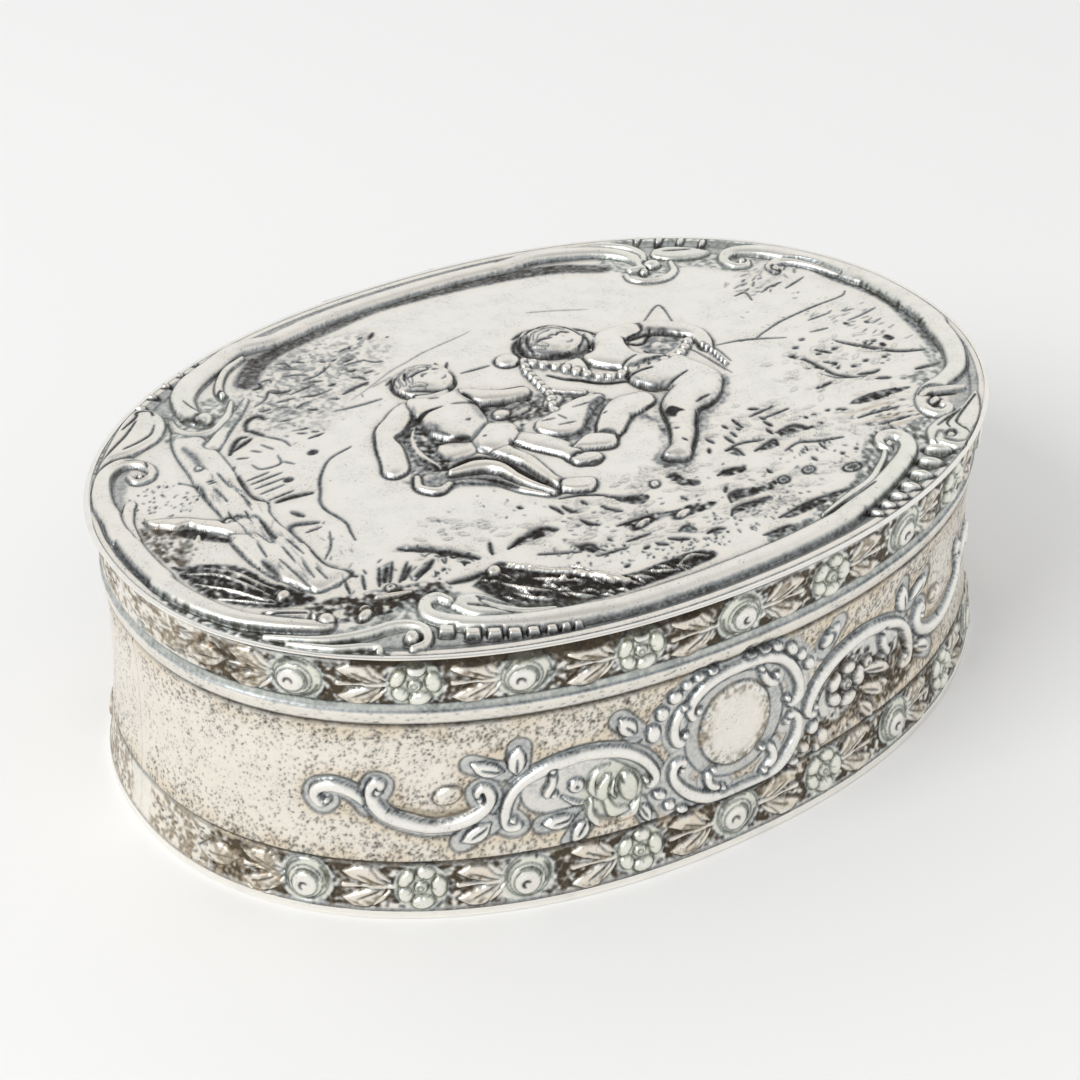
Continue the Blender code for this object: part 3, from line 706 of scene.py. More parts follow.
def draw_border(board):
    """The flat edge, the sloping channel and the groove round the lid."""
    x, y = np.meshgrid(board.x, board.y)
    inset = inset_of(x, y)
    end = np.abs(x) / (np.hypot(x, y) + 1e-9)
    reach = inset * (1 + 0.22 * end ** 2)
    board.height += np.interp(reach, [0, 1.2, 1.32, 2.0, 2.35, 4.6, 5.4],
                              [0.1, 0.1, 0.06, -0.2, -0.24, -0.06, 0])
    board.patina_and_shade = np.maximum(board.patina_and_shade, np.interp(
        reach, [0, 0.6, 0.75, 1.2, 1.3, 1.42, 2.0, 2.15, 2.4, 2.7, 4.4, 5.0],
        [0.5, 0.4, 0, 0, 0.62, 0.3, 0.27, 0.62, 0.42, 0.3, 0.3, 0]))


def lean(points, share=1.0):
    """Points seen on a raised crest, moved to where the crest stands."""
    return [(x - CREST_LEAN[0] * share, y - CREST_LEAN[1] * share) for x, y in points]


def run_on(path, points):
    """A path as far as it goes before the given points, then the points."""
    near = int(np.argmin(np.hypot(*(np.asarray(path) - points[0]).T)))
    return [*path[:max(near - 1, 1)], *points]


def joined(*parts):
    """Runs of points with their widths as one run, with its widths at even steps."""
    points, widths = [], []
    for run, sizes_along in parts:
        run = np.asarray(run, float)
        length = np.concatenate([[0], np.cumsum(np.hypot(*np.diff(run, axis=0).T))])
        points.append(run)
        widths.append(np.interp(length / length[-1], np.linspace(0, 1, len(sizes_along)), sizes_along))
    points, widths = np.concatenate(points), np.concatenate(widths)
    length = np.concatenate([[0], np.cumsum(np.hypot(*np.diff(points, axis=0).T))])
    return points, np.interp(np.linspace(0, length[-1], 120), length, widths)


def draw_hollows(board):
    """The dark hollows along the inside of the frame."""
    for hollow, patina_and_shade in (
            ([(-46.2, 2), (-45.6, -4), (-44, -8.5), (-41.8, -12.5), (-39.8, -15.8), (-36, -19.3),
              (-33, -22.5), (-33, -25.5), (-36, -23), (-40, -19), (-43.5, -13.5), (-45.6, -8)], 0.85),
            ([(-43, 10), (-40, 18), (-35, 24), (-30, 28), (-24, 30.5), (-26, 31.5), (-32, 28.2),
              (-38, 23.5), (-42.5, 18)], 0.42),
            ([(-35, 20), (-31, 25.5), (-26, 22), (-24.5, 19.5), (-27, 16), (-31, 15.5), (-34, 17)], 0.4),
            ([(-30, -19), (-26, -18.3), (-23.5, -20), (-20, -24), (-14, -27), (-13, -28), (-20, -26.5),
              (-27, -25), (-33, -22), (-35, -19.5)], 0.4),
            ([(5, -28.2), (11, -27.6), (12, -26.3), (17, -25.5), (20, -23.5), (23, -20.6),
              (26, -19.4), (30, -19.8), (36, -20), (33, -25), (28, -27.5), (20, -29.5), (6, -29.5)],
             0.5),
            ([(33.5, -12.6), (37, -12.7), (38.8, -11.6), (40.6, -8.5), (43.2, -9.5), (41, -14.5),
              (36, -16.5)], 0.42),
            ([(22, 24), (24, 20), (26.5, 17.4), (30, 19), (34, 15), (36, 15), (40, 19), (34, 25),
              (28, 28.5), (24, 28)], 0.35),
            ([(42.5, 12), (43.4, 4), (43.8, 0), (43.2, -6), (44.4, -6), (45, 0), (44.6, 8)], 0.75)):
        board.stain_and_shade(lean(hollow, 0.4), patina_and_shade, -0.35, 0.5, grain=0.5, seed=len(hollow))


def draw_cusps(board):
    """The pointed leaves between the scrolls, with their veins."""
    for outline, rise in (
            ([(-43.5, 13.5), (-41, 17.2), (-38.5, 20.3), (-36, 23), (-34.5, 24.2), (-33.5, 24.5),
              (-32.3, 23.5), (-32.1, 21.5), (-33, 19.5), (-34.5, 18.2), (-37.5, 17.3), (-40, 17.2),
              (-42, 15.6)], 0.5),
            ([(-38.9, -12.8), (-37, -13.6), (-35.3, -15), (-36.2, -15.9), (-38, -15.2)], 0.4),
            ([(28.6, -23.5), (29.3, -22.3), (30.5, -21.3), (32.5, -20.7), (35.5, -20.2),
              (39, -18.6), (37, -21.5), (34.2, -23.8), (31.5, -25.4), (29.5, -25)], 0.5),
            ([(-24.9, -21.3), (-23.4, -20.5), (-21.7, -21.3), (-20.3, -23.6), (-19.2, -25.6),
              (-21.5, -25.3), (-23.6, -23.8)], 0.45),
            ([(29.5, 24.6), (31.5, 24.2), (33.6, 22.4), (34.6, 20.6), (32.6, 20.4), (30, 21.6),
              (28.6, 23.4)], 0.45)):
        board.shape(lean(outline), rise, 0.7, **SPRIG)
    for line in (
            [(-40.8, 17.4), (-38.4, 19.2), (-36.8, 20.4), (-34.8, 22.3)],
            [(-36.6, 21.6), (-34.5, 23), (-34, 23.8), (-32.8, 23.4), (-32.9, 22.3)],
            [(-38, 18.2), (-36.2, 18.6), (-34.6, 19.3), (-33.6, 20.6)],
            [(31, -22), (34.5, -20.9)], [(31.8, -22.9), (32.3, -22), (35, -20.8)],
            [(33, -24.5), (32.9, -23), (33.6, -22), (38.3, -19.4)], [(-38.8, -13.4), (-35.9, -15.3)],
            [(-23.5, -22.2), (-21.9, -23.6), (-20.3, -25.7)], [(-22.3, -21.7), (-20.9, -23.7)],
            [(30.2, 23.4), (33, 22.1)]):
        board.cut(lean(line), 0.16, 0.14, 0.9)


def draw_strands(board):
    """The four C-scrolls, each a strand that ends in two volutes."""
    for middle, ends in (
            (frame_path(174, 186, 0.3), (
                ((173, 163), [(-43.6, 10.3), (-42.6, 13.2), (-41.2, 15.4), (-39.2, 16.3), (-37.6, 15.3),
                              (-37.2, 13.6), (-38, 12.5), (-39.3, 12.7), (-39.5, 13.8)],
                 [1.15, 1.1, 1.0, 0.8, 0.6, 0.45, 0.3]),
                ((187, 199), [(-42.8, -9.3), (-41.3, -12.2), (-39, -14.7), (-36.8, -16.6), (-35.2, -17.7),
                              (-34.6, -16.9), (-35.3, -16)], [1.15, 1.1, 1.0, 0.85, 0.75, 0.5]))),
            (frame_path(-9, 9, -0.3), (
                ((-10, -19), [(42.7, -11.2), (40.6, -13.8), (37.8, -15.1), (35.2, -15.8), (33.2, -17.2),
                              (32.5, -18.9), (33.4, -20.1), (34.7, -19.6), (34.6, -18.5)],
                 [1.35, 1.25, 1.1, 0.9, 0.8, 0.65, 0.45]),
                ((10, 20), [(43.2, 11.6), (41.4, 15.6), (38.9, 18.4), (36.4, 19.4), (34.8, 18.2),
                            (34.9, 16.5), (36.2, 15.9), (37, 16.9)],
                 [1.35, 1.35, 1.3, 1.15, 0.85, 0.6, 0.4]))),
            (frame_path(-104, -76), (
                ((-105, -117), [(-16.2, -28.1), (-19.8, -26.9), (-23.2, -25.2), (-25.6, -23.3),
                                (-26.9, -21.3), (-26.4, -19.8), (-25.1, -19.6), (-24.5, -20.6)],
                 [1.15, 1.15, 1.1, 1.05, 0.9, 0.75, 0.5]),
                ((-75, -63), [(15.6, -28.4), (19.5, -27), (22.8, -25.5), (25.6, -23.8), (26.9, -22.2),
                              (26.6, -20.8), (25.3, -20.4), (24.3, -21.2), (24.5, -22.3)],
                 [1.15, 1.15, 1.05, 1.05, 0.95, 0.7, 0.45]))),
            (frame_path(76, 104, -0.15), (
                ((75, 63), [(17.4, 30.6), (21.4, 29.2), (24.4, 27.4), (26.2, 25.2), (26.7, 23.1),
                            (25.9, 21.5), (24.6, 21.6)], [1.05, 1.0, 1.0, 0.95, 0.9, 0.8, 0.6]),
                ((105, 117), [(-19.6, 30.3), (-23.4, 28.4), (-26.6, 26.6), (-28.6, 24.6), (-29.4, 22.3),
                              (-29.6, 20), (-29.2, 18.6)], [1.05, 1.0, 1.05, 1.25, 1.4, 1.2, 0.8])))):
        (first, first_widths), last = (
            (run_on(frame_path(*angles), lean(points)), widths) for angles, points, widths in ends)
        thick = (first_widths[0] + last[1][0]) / 2
        board.tube(*joined((first[::-1], first_widths[::-1]), (middle, [thick]), last), 0.74, **SCROLL)


def draw_tendrils(board):
    """The thinner strands that branch off the scrolls."""
    for points, widths, rise in (
            ([(-43.2, 3.5), (-42.9, 6.3), (-42.1, 8.3), (-41.4, 9.3)], [0.25, 0.4, 0.55, 0.55], 0.4),
            ([(-20, 28.3), (-22.5, 27), (-24.3, 25), (-25.2, 23.2), (-25.3, 22.2)],
             [0.25, 0.35, 0.4, 0.45, 0.5], 0.5),
            ([(-31.8, 20.6), (-32, 18.6), (-31.2, 17), (-29.6, 16.3), (-28, 17.2), (-26.6, 18.4),
              (-25.2, 20.5)], [0.3, 0.5, 0.5, 0.4, 0.5, 0.4, 0.25], 0.5),
            ([(-40.5, -16.3), (-37.5, -18.8), (-35, -20.1), (-32.5, -20.7), (-30.2, -21),
              (-28.7, -22), (-28.4, -23.4), (-29.2, -24.7), (-30.6, -24.8)],
             [0.3, 0.45, 0.5, 0.55, 0.6, 0.6, 0.5, 0.4], 0.6),
            ([(-39.3, -18.2), (-36.5, -20.9), (-34, -22.2), (-33, -23), (-33.4, -24)],
             [0.25, 0.4, 0.45, 0.4, 0.3], 0.5),
            ([(12, -27.8), (16, -26.6), (19.5, -25.6), (22.4, -23.8), (23.8, -22.6)],
             [0.2, 0.3, 0.35, 0.35, 0.25], 0.35),
            ([(-17, -26.4), (-19.4, -25.4), (-21, -24), (-22, -22.4)], [0.2, 0.35, 0.4, 0.3], 0.35),
            ([(22, 30), (25, 28.9), (27.4, 26.7), (28, 24.5), (27.3, 23)],
             [0.3, 0.45, 0.5, 0.5, 0.35], 0.5),
            ([(23.4, 20.9), (23.2, 19.6), (24.4, 18.3), (26.5, 17.9), (28.5, 19), (29.5, 21)],
             [0.3, 0.4, 0.45, 0.5, 0.45, 0.3], 0.45),
            ([(43.3, 8.5), (42, 12.2), (40, 14.6), (38.2, 14.2), (37.9, 12.9)],
             [0.25, 0.4, 0.5, 0.55, 0.5], 0.5),
            ([(31.8, -25.8), (30.4, -25.6), (29.6, -24.2), (30.4, -23.2)], [0.4, 0.5, 0.5, 0.35], 0.5),
            ([(33.6, -16.6), (34.9, -16.1), (36.6, -16.6), (38.6, -17.3)],
             [0.3, 0.45, 0.4, 0.25], 0.45)):
        board.tube(lean(points), widths, rise, **SPRIG)


def draw_knobs(board):
    """The knobs in the volutes and the deep cuts beside them."""
    for x, y, long, short, turn, rise in (
            (-28.9, 19, 1.1, 0.9, 60, 0.75), (-34.8, -17, 0.8, 0.8, 0, 0.7),
            (-29.9, -23.4, 0.85, 0.7, 60, 0.75), (-31.6, -18.2, 0.9, 0.55, 20, 0.4),
            (-25.3, 22.3, 0.5, 0.35, 60, 0.6), (27.3, 21.5, 1.0, 0.9, 0, 0.7),
            (25.4, 20.3, 0.6, 0.5, 30, 0.6), (36.2, 16.8, 0.5, 0.4, 30, 0.6),
            (38.3, 13.3, 0.6, 0.45, 60, 0.6), (34.1, -18, 0.85, 0.4, 15, 0.65),
            (24.9, -21.9, 0.5, 0.35, 60, 0.55), (-38.6, 13.2, 0.45, 0.3, 60, 0.5),
            (31.2, -23.8, 0.55, 0.4, 30, 0.45)):
        board.blob(*lean([(x, y)])[0], long, short, turn, rise, ditch=0.1, spread=0.2, patina_and_shade=0.95)
    board.cut(lean([(33.4, -17), (35, -16.9), (37.2, -17.5)]), 0.28, 0.16, 1.0)
    board.cut(lean([(-30.7, 20.5), (-30, 19.3), (-29.3, 18.2)]), 0.3, 0.16, 1.0)
    board.cut(frame_path(-112, -66, 1.3), 0.3, 0.12, 0.9)
    for line in (
            [(-29.3, 23), (-29, 21.2), (-28.3, 20.3)], [(-38.8, 16.2), (-37.3, 15.4), (-37.4, 14)],
            [(-36.3, 27.4), (-33, 29.2), (-30, 30.6)]):
        board.cut(lean(line), 0.13, 0.12, 0.8)


def draw_beads(board):
    """The square studs and the oval beads outside the corners."""
    for x, y, size in ((-27.4, -25, 0.66), (-25.7, -26.6, 0.64), (-24.1, -27.6, 0.6),
                       (-22.6, -28.5, 0.56), (-21.1, -29.2, 0.5), (-19.6, -29.8, 0.46),
                       (-18.4, -30.2, 0.4), (-17.3, -30.5, 0.36)):
        slope = math.radians(-32 + 1.2 * (x + 27))
        stud = [(x + 0.4 + 1.2 * size * (a * math.cos(slope) - b * math.sin(slope)),
                 y + 0.6 + 1.2 * size * (a * math.sin(slope) + b * math.cos(slope)))
                for a, b in ((-0.9, -0.75), (0.9, -0.75), (0.9, 0.8), (-0.9, 0.8))]
        board.shape(lean(stud, 0.5), 0.42, 0.3, base=0.05, ditch=0.14, spread=0.16, patina_and_shade=0.95,
                    soft=False)
        board.cut(lean(stud[:2], 0.5), 0.16, 0.1, 0.6)
    for x, y, size in ((16.3, -30.4, 0.6), (18.1, -29.9, 0.68), (19.9, -29.3, 0.75),
                       (21.9, -28.6, 0.85), (24.1, -27.6, 0.95), (26.3, -26.4, 1.05),
                       (28.4, -25.1, 1.15), (-33.2, 24.9, 0.6), (-31.4, 26.4, 0.7),
                       (-29.4, 27.8, 0.75), (-27.2, 29, 0.7), (-25, 30.1, 0.6), (29.6, 27.6, 0.7),
                       (31.6, 26.2, 0.75), (33.5, 24.7, 0.75), (35.3, 23, 0.7)):
        slope = math.degrees(math.atan2(y * 2, x)) + (18 if y < 0 else -18) * (1 if x > 0 else -1)
        board.blob(*lean([(x, y)])[0], size * 1.25, size * 0.5, slope, 0.5 * size + 0.1,
                   ditch=0.14, spread=0.2, patina_and_shade=0.95)


def draw_frame(board):
    """The C-scrolls that meet at the corners, with all that grows on them."""
    draw_hollows(board)
    draw_cusps(board)
    draw_strands(board)
    draw_tendrils(board)
    draw_knobs(board)
    draw_beads(board)


# Lid: the scene in the field.

def draw_hill(board):
    """The hill behind the tree, with its strands of grass."""
    board.stain_and_shade([(-43.8, 5), (-43.4, 2), (-43, -3), (-41.5, -3), (-40, -0.6), (-39.6, 2),
                 (-41, 4)], 0.6, 0.4, 0.6, grain=0.5, seed=3)
    board.stain_and_shade([(-43, -2.6), (-41, -3.6), (-39.3, -4.8), (-38, -6), (-37.2, -8),
                 (-36.8, -9.8), (-35.4, -12), (-34.6, -14.4), (-37.5, -13.8), (-40.4, -11.4),
                 (-42.4, -8)], 0.9, 0, 0.5, grain=0.3, seed=4)
    for line, width in (([(-42.6, -4.2), (-40.2, -6.1), (-38.7, -8.8), (-37.6, -11.6)], 0.17),
                        ([(-42.4, -6.2), (-40.4, -8.6), (-38.6, -11.4), (-37, -13.2)], 0.15),
                        ([(-40.6, -4.6), (-38.8, -6.6), (-37.7, -9.2), (-36.8, -11.2)], 0.14),
                        ([(-41.6, -9.4), (-40, -11), (-38, -12.8)], 0.13)):
        board.tube(line, [0.06, width, 0.06], 0.3, ditch=0, patina_and_shade=0)
    board.blob(-36.7, -12.4, 0.75, 0.6, 30, 0.5, **TRUNK)


def draw_trunk(board):
    """The trunk with its branch, twigs and knots."""
    board.shape([(-35, 10), (-34.5, 14), (-33.6, 17), (-32.3, 19), (-31.5, 17), (-31, 15.5),
                 (-30.9, 13.5), (-31, 11), (-31.3, 8), (-31.7, 6), (-31.8, 3.5), (-31.2, 1.3),
                 (-31.8, -0.4), (-31.9, -2.8), (-31.5, -5), (-31.4, -9.5), (-31.1, -11.3),
                 (-29.9, -12.8), (-32, -13.6), (-34, -13.5), (-35.4, -11), (-36.5, -8),
                 (-36.9, -3), (-36, 0.2), (-35.6, 3), (-35.5, 7)], 0.55, 1.4, **TRUNK)
    board.tube([(-31, 13.2), (-28.5, 15.5), (-26.3, 17.3), (-24.2, 19.4)], [0.8, 0.65, 0.5, 0.3],
               0.45, **TRUNK)
    board.cut([(-33.6, 14.2), (-33.5, 12), (-33.8, 9.9)], 0.42, 0.14, 0.5)
    board.blob(-34, 9.9, 0.34, 0.4, 0, 0.16, base=None, **TRUNK)
    board.cuts([
        [(-31.3, 7), (-31.8, 4.5), (-32, 2), (-31.1, 1.3)],
        [(-30.2, 11), (-29, 12.5), (-28, 13.2), (-27.4, 13)], [(-29.5, 11.5), (-27.2, 12.4)],
        [(-26.9, 14), (-26.3, 15.3), (-25.2, 16), (-24.5, 15.8), (-24.4, 15)],
        [(-26.6, 14), (-25.9, 12.2)], [(-30.4, 0.9), (-28.8, 0.8), (-26.9, 0.3)],
        [(-31.5, -8), (-31.4, -10.5), (-29.9, -13.5)], [(-33.3, -1.5), (-33.5, -3.5), (-33.4, -4.8)]],
               0.32, 0.14, 0.9)
    board.cuts([
        [(-36.4, 9.5), (-35.3, 7.5), (-35.6, 5), (-35.7, 2.3)], [(-34.5, 7.2), (-33.8, 7.1)],
        [(-34.5, 6.8), (-33.8, 6.7)], [(-30.8, 8.8), (-31.2, 8.2)], [(-26.9, 10.8), (-26.3, 9.3)],
        [(-29.3, 8), (-28.9, 6.8), (-27, 6.6), (-26.5, 8.1)], [(-26.6, 6.8), (-25.9, 5.7)],
        [(-33, 8), (-33.1, 5)], [(-34.3, 5.6), (-34.4, 3)], [(-32.8, 3.4), (-32.9, 1.2)],
        [(-33.8, 0.6), (-34, -2)], [(-35.1, 1.5), (-35.2, -1.2)]], 0.15, 0.1, 0.75)
    board.cuts([
        [(-31, 5.8), (-28.6, 5.9)], [(-31, 5), (-27.6, 5.1)], [(-31, 4.1), (-27.9, 4.1)],
        [(-31, 3), (-28.4, 3.1)], [(-30.8, 1.6), (-28.2, 1.7)],
        [(-25.9, 12), (-24.8, 10.2), (-24.7, 8.8)], [(-27.5, 9.6), (-28.2, 10.4)],
        [(-29, 9.4), (-30, 9.9)]], 0.16, 0.1, 0.75)
    for x, y, size in ((-27.7, 3.6, 0.36), (-23.5, 6.5, 0.4)):
        board.blob(x, y, size, 0.8 * size, 0, -0.1, base=None, ditch=0.08, spread=0.16, patina_and_shade=0.9)
        board.cut([(x - size * 0.6, y), (x + size * 0.6, y + 0.1)], 0.8 * size, 0.15, 0.85)


def draw_fallen_limb(board):
    """The fallen limb at the trunk's left, and the grooves of trunk and roots."""
    board.stain_and_shade([(-40.8, 2.1), (-39.2, 2), (-38.2, 0.8), (-37.4, -0.6), (-36.4, -2.4), (-37.2, -2.2),
                 (-38.6, -0.8), (-39.8, 0.6)], 0.95, 0, 0.3, grain=0.3, seed=4)
    board.shape([(-42, 5.3), (-40, 4.2), (-38.5, 3.2), (-37.3, 2), (-36.3, 1), (-36, 0.2),
                 (-34.5, 0), (-33.7, -0.4), (-33.3, -1.3), (-34, -5.2), (-34.5, -3), (-35.2, -2.7),
                 (-36.2, -1.7), (-37, -0.4), (-38.2, 1), (-38.8, 2.2), (-40, 2.4), (-40.8, 3.2),
                 (-41.8, 4.2)], 0.3, 0.6, base=0.2, **TRUNK)
    board.cut([(-42, 5.5), (-39, 3.9), (-36.8, 1.8), (-34.4, 0.2)], 0.26, 0.12, 0.85)
    board.blob(-39, -0.1, 0.55, 0.25, 60, 0.3, ditch=0, patina_and_shade=0)
    board.cuts([
        [(-36.9, -2.5), (-36.9, -5), (-36.8, -7)], [(-34.7, -8), (-34.5, -10.5), (-34.2, -13.5)],
        [(-32.7, -5.6), (-32.5, -8.5)], [(-32.6, -11), (-32.5, -13)], [(-33.6, -6.4), (-33.7, -9)],
        [(-35.2, -4.6), (-35.5, -7)], [(-28.6, -6.2), (-29.6, -8.2), (-31, -9.7)],
        [(-35.3, -11), (-34.9, -13)], [(-30.5, -5.1), (-28.9, -5.1)], [(-33.2, -9.6), (-33.4, -12.2)]],
               0.14, 0.1, 0.75)
    board.cuts([
        [(-36, -7.3), (-35.9, -8.6), (-35.8, -10)], [(-30, -1.4), (-29.4, -2.6)],
        [(-31.7, -6.5), (-31.5, -4), (-30.8, -3.4), (-28.8, -4.3)]], 0.34, 0.14, 0.75)


def draw_bark(board):
    """Strokes of grass and bark, and the outlines of the ground behind the tree."""
    board.dashes([(-42, 4.5), (-35.8, 4.5), (-35.8, 10.5), (-41.5, 10.5)], 60, 0.32, 40, 60, 5,
                 0.12, 0.75)
    board.dashes([(-43, 3), (-40, 1.4), (-39.6, -2.4), (-42.6, -2.4)], 30, 0.3, 40, 60, 50, 0.12, 0.7)
    board.dashes([(-35.2, 10), (-32.2, 10), (-32.2, -13), (-35.4, -12)], 60, 1.9, 86, 8, 51, 0.09, 0.5)
    board.dashes([(-31, -4), (-27.6, -4), (-28.5, -12), (-31, -12)], 12, 0.8, 60, 20, 52, 0.1, 0.5)
    board.cuts([[(-20, 5.2), (-22.5, 4.6), (-24, 3.4), (-25.4, 1.6), (-26.2, 0), (-27, -1.4),
                 (-27.2, -3), (-26.9, -4.5), (-26.7, -6), (-27, -7.2), (-27.3, -8.7)],
                [(-18, 12.1), (-15.5, 11.6), (-13, 11.4)], [(-3.8, 11.2), (-0.6, 10.9)]], 0.2, 0.12,
               0.75)


def draw_tree(board):
    """The tree at the left and all that stands round it."""
    draw_hill(board)
    draw_trunk(board)
    draw_fallen_limb(board)
    draw_bark(board)


def draw_foliage(board):
    """The leaf strokes and clouds chased into the upper part of the field."""
    board.cuts([
        [(-24, 17.8), (-22.5, 18.5), (-21.3, 19.8), (-20.3, 19)],
        [(-20, 17.8), (-18.7, 18), (-17, 18.3)], [(-17.2, 18.9), (-16, 18.3)],
        [(-21.8, 17.2), (-20, 16.9)], [(-24, 16.6), (-23, 16.4)], [(-22.3, 16.2), (-21.4, 15.7)],
        [(-19.4, 16.7), (-18, 16.1), (-16.5, 16.1)], [(-13, 18.6), (-12, 18.4)],
        [(-13.3, 17), (-12.5, 16.6), (-12.3, 15.8)], [(-11.8, 17.1), (-10.8, 17.1)],
        [(-20.8, 14.9), (-19.9, 15.3), (-19.2, 15.3)], [(-17.2, 14.6), (-16.4, 14)],
        [(-23.3, 13.6), (-22.3, 13.3)], [(-20, 13.9), (-19.2, 13.4)], [(-22.5, 11), (-21.7, 10.8)],
        [(-23, 10.5), (-22.3, 10)], [(-21.7, 9.9), (-21.2, 9.6)], [(-22.6, 9), (-21, 9)],
        [(-10.4, 19.6), (-9.8, 18.7), (-9, 18.2)],
        [(-17.6, 19.6), (-16, 19.7), (-15, 20.2), (-13.8, 20.8)], [(-15, 20), (-14.4, 20.8)],
        [(-12.4, 20.6), (-11.2, 20.6)], [(-12.6, 19.9), (-10.3, 19.7)],
        [(-18.8, 21.7), (-17.6, 21.2), (-16.6, 20.4)], [(-18.3, 23.6), (-17.6, 22.8), (-16.8, 22.2)],
        [(-18.2, 24.6), (-17.3, 24.2), (-17.2, 22.8)], [(-16.2, 23.8), (-15.6, 23)],
        [(-14.2, 22.2), (-13.8, 21.8)], [(-13.2, 21.5), (-12.6, 21.7)], [(-11.4, 23), (-10.3, 23.2)],
        [(-10.4, 22.8), (-10.1, 23.4)], [(-6, 22.8), (-5.7, 22.8)],
        [(-21.2, 22.1), (-20.2, 22), (-20.3, 21.4)], [(-8.6, 24.2), (-8, 24.4)]], 0.19, 0.1, 0.8)
    board.cuts([[(-15.6, 14.6), (-14.2, 15), (-12.5, 15.2)],
                [(-21.3, 19.5), (-20.6, 18.8), (-19.6, 18.6)], [(-15.9, 17), (-15.3, 17)],
                [(-12.7, 18.3), (-12.2, 18.5)], [(-7.6, 23.6), (-6.6, 24.6)],
                [(-22.4, 21.1), (-21.6, 21.1), (-21.4, 22)]], 0.32, 0.12, 0.85)
    board.cuts([[(-15.6, 13), (-13, 14.1), (-9.5, 15.8), (-7, 16.6), (-4.5, 17.4), (0, 18.2),
                 (1.7, 18.6)], [(9, 18.8), (11.5, 17.6), (14.8, 15.7)], [(-12.6, 14), (-10, 14.8)]],
               0.16, 0.05, 0.42)
    board.dashes([(-24, 8), (-14, 11.5), (-10, 14.5), (-11, 21), (-17, 24), (-22, 21), (-25, 14)],
                 55, 0.6, 20, 70, 8, 0.11, 0.6)
    board.stain_and_shade([(-27, 13), (-25, 20), (-20, 26), (-12, 27), (-7, 24), (-9, 18), (-14, 15.5),
                 (-20, 11)], 0.27, 0.1, 4.0, grain=0.8, seed=54)
    for x, y, size in ((-17.4, 23.6, 1.5), (-22.4, 22.4, 1.3), (-18, 18.2, 1.2), (-13, 18.8, 1.0),
                       (-21.6, 14.4, 1.1), (-14, 22, 1.0)):
        board.stain_and_shade(ring(x, y, size), 0.42, 0, 1.6, grain=0.6, seed=55)
    board.stain_and_shade([(-20, 27.4), (-14, 28.6), (-8, 29.4), (0, 29.9), (10, 29.5), (18, 27.4), (23, 23.5),
                 (21.5, 22.5), (17, 25.3), (10, 27.2), (2, 28.3), (-4, 28.6), (-10, 27.4),
                 (-16, 26.2), (-19, 24.6), (-22.5, 21.4), (-23.6, 23.4)], 0.72, 0.1, 0.7,
                grain=0.12, seed=6)


def draw_garland(board, beads, size):
    """A string of small flowers, one plain boss each."""
    for x, y in beads:
        board.blob(x, y, 1.08 * size, size, 40 * x, 0.22, base=0.32, ditch=0.08, spread=0.15, patina_and_shade=0.7)


HAIR = ([(-0.5, 0.1), (-0.2, 0.34), (0.2, 0.3)], [(-0.7, 0.2), (-0.3, 0.56), (0.2, 0.52)],
        [(-0.8, 0.35), (-0.4, 0.78), (0.1, 0.75)], [(0.2, 0.8), (0.55, 0.58), (0.74, 0.2)],
        [(0.15, 0.55), (0.45, 0.4), (0.6, 0.1)], [(-0.9, 0), (-0.72, -0.2), (-0.6, -0.45)],
        [(-0.68, 0), (-0.5, -0.2), (-0.44, -0.4)])


def draw_face(board, x, y, size, turn):
    """A small child's head in plain forms: skull, brow, cheeks, nose and strands of hair."""
    board.blob(x, y, size, size * 0.93, turn, 0.75, base=0.2, ditch=0.14, spread=0.3, patina_and_shade=0.9)
    cosine, sine = math.cos(math.radians(turn)), math.sin(math.radians(turn))

    def put(points):
        """Points in shares of the head's size, put on the head."""
        return [(x + size * (a * cosine - b * sine), y + size * (a * sine + b * cosine))
                for a, b in points]

    for a, b, long, short, rise in ((0.3, -0.46, 0.3, 0.26, 0.12), (-0.16, -0.42, 0.28, 0.24, 0.1),
                                    (0.16, -0.82, 0.2, 0.15, 0.1), (0.28, -0.2, 0.12, 0.22, 0.16)):
        place = put([(a, b)])[0]
        board.blob(*place, size * long, size * short, turn, rise, base=None, ditch=0, spread=0.1,
                   patina_and_shade=0)
    board.cuts([put([(-0.12, -0.06), (0.02, 0.0), (0.12, -0.08)]),
                put([(0.42, -0.12), (0.52, -0.08), (0.6, -0.18)])], 0.2, 0.1, 0.7)
    board.cuts([put([(0.12, -0.62), (0.26, -0.65), (0.38, -0.6)])], 0.11, 0.08, 0.65)
    for points in HAIR:
        board.tube(put(points), [0.12, 0.24, 0.1], 0.12, base=None, ditch=0.08, spread=0.14, patina_and_shade=0.65)


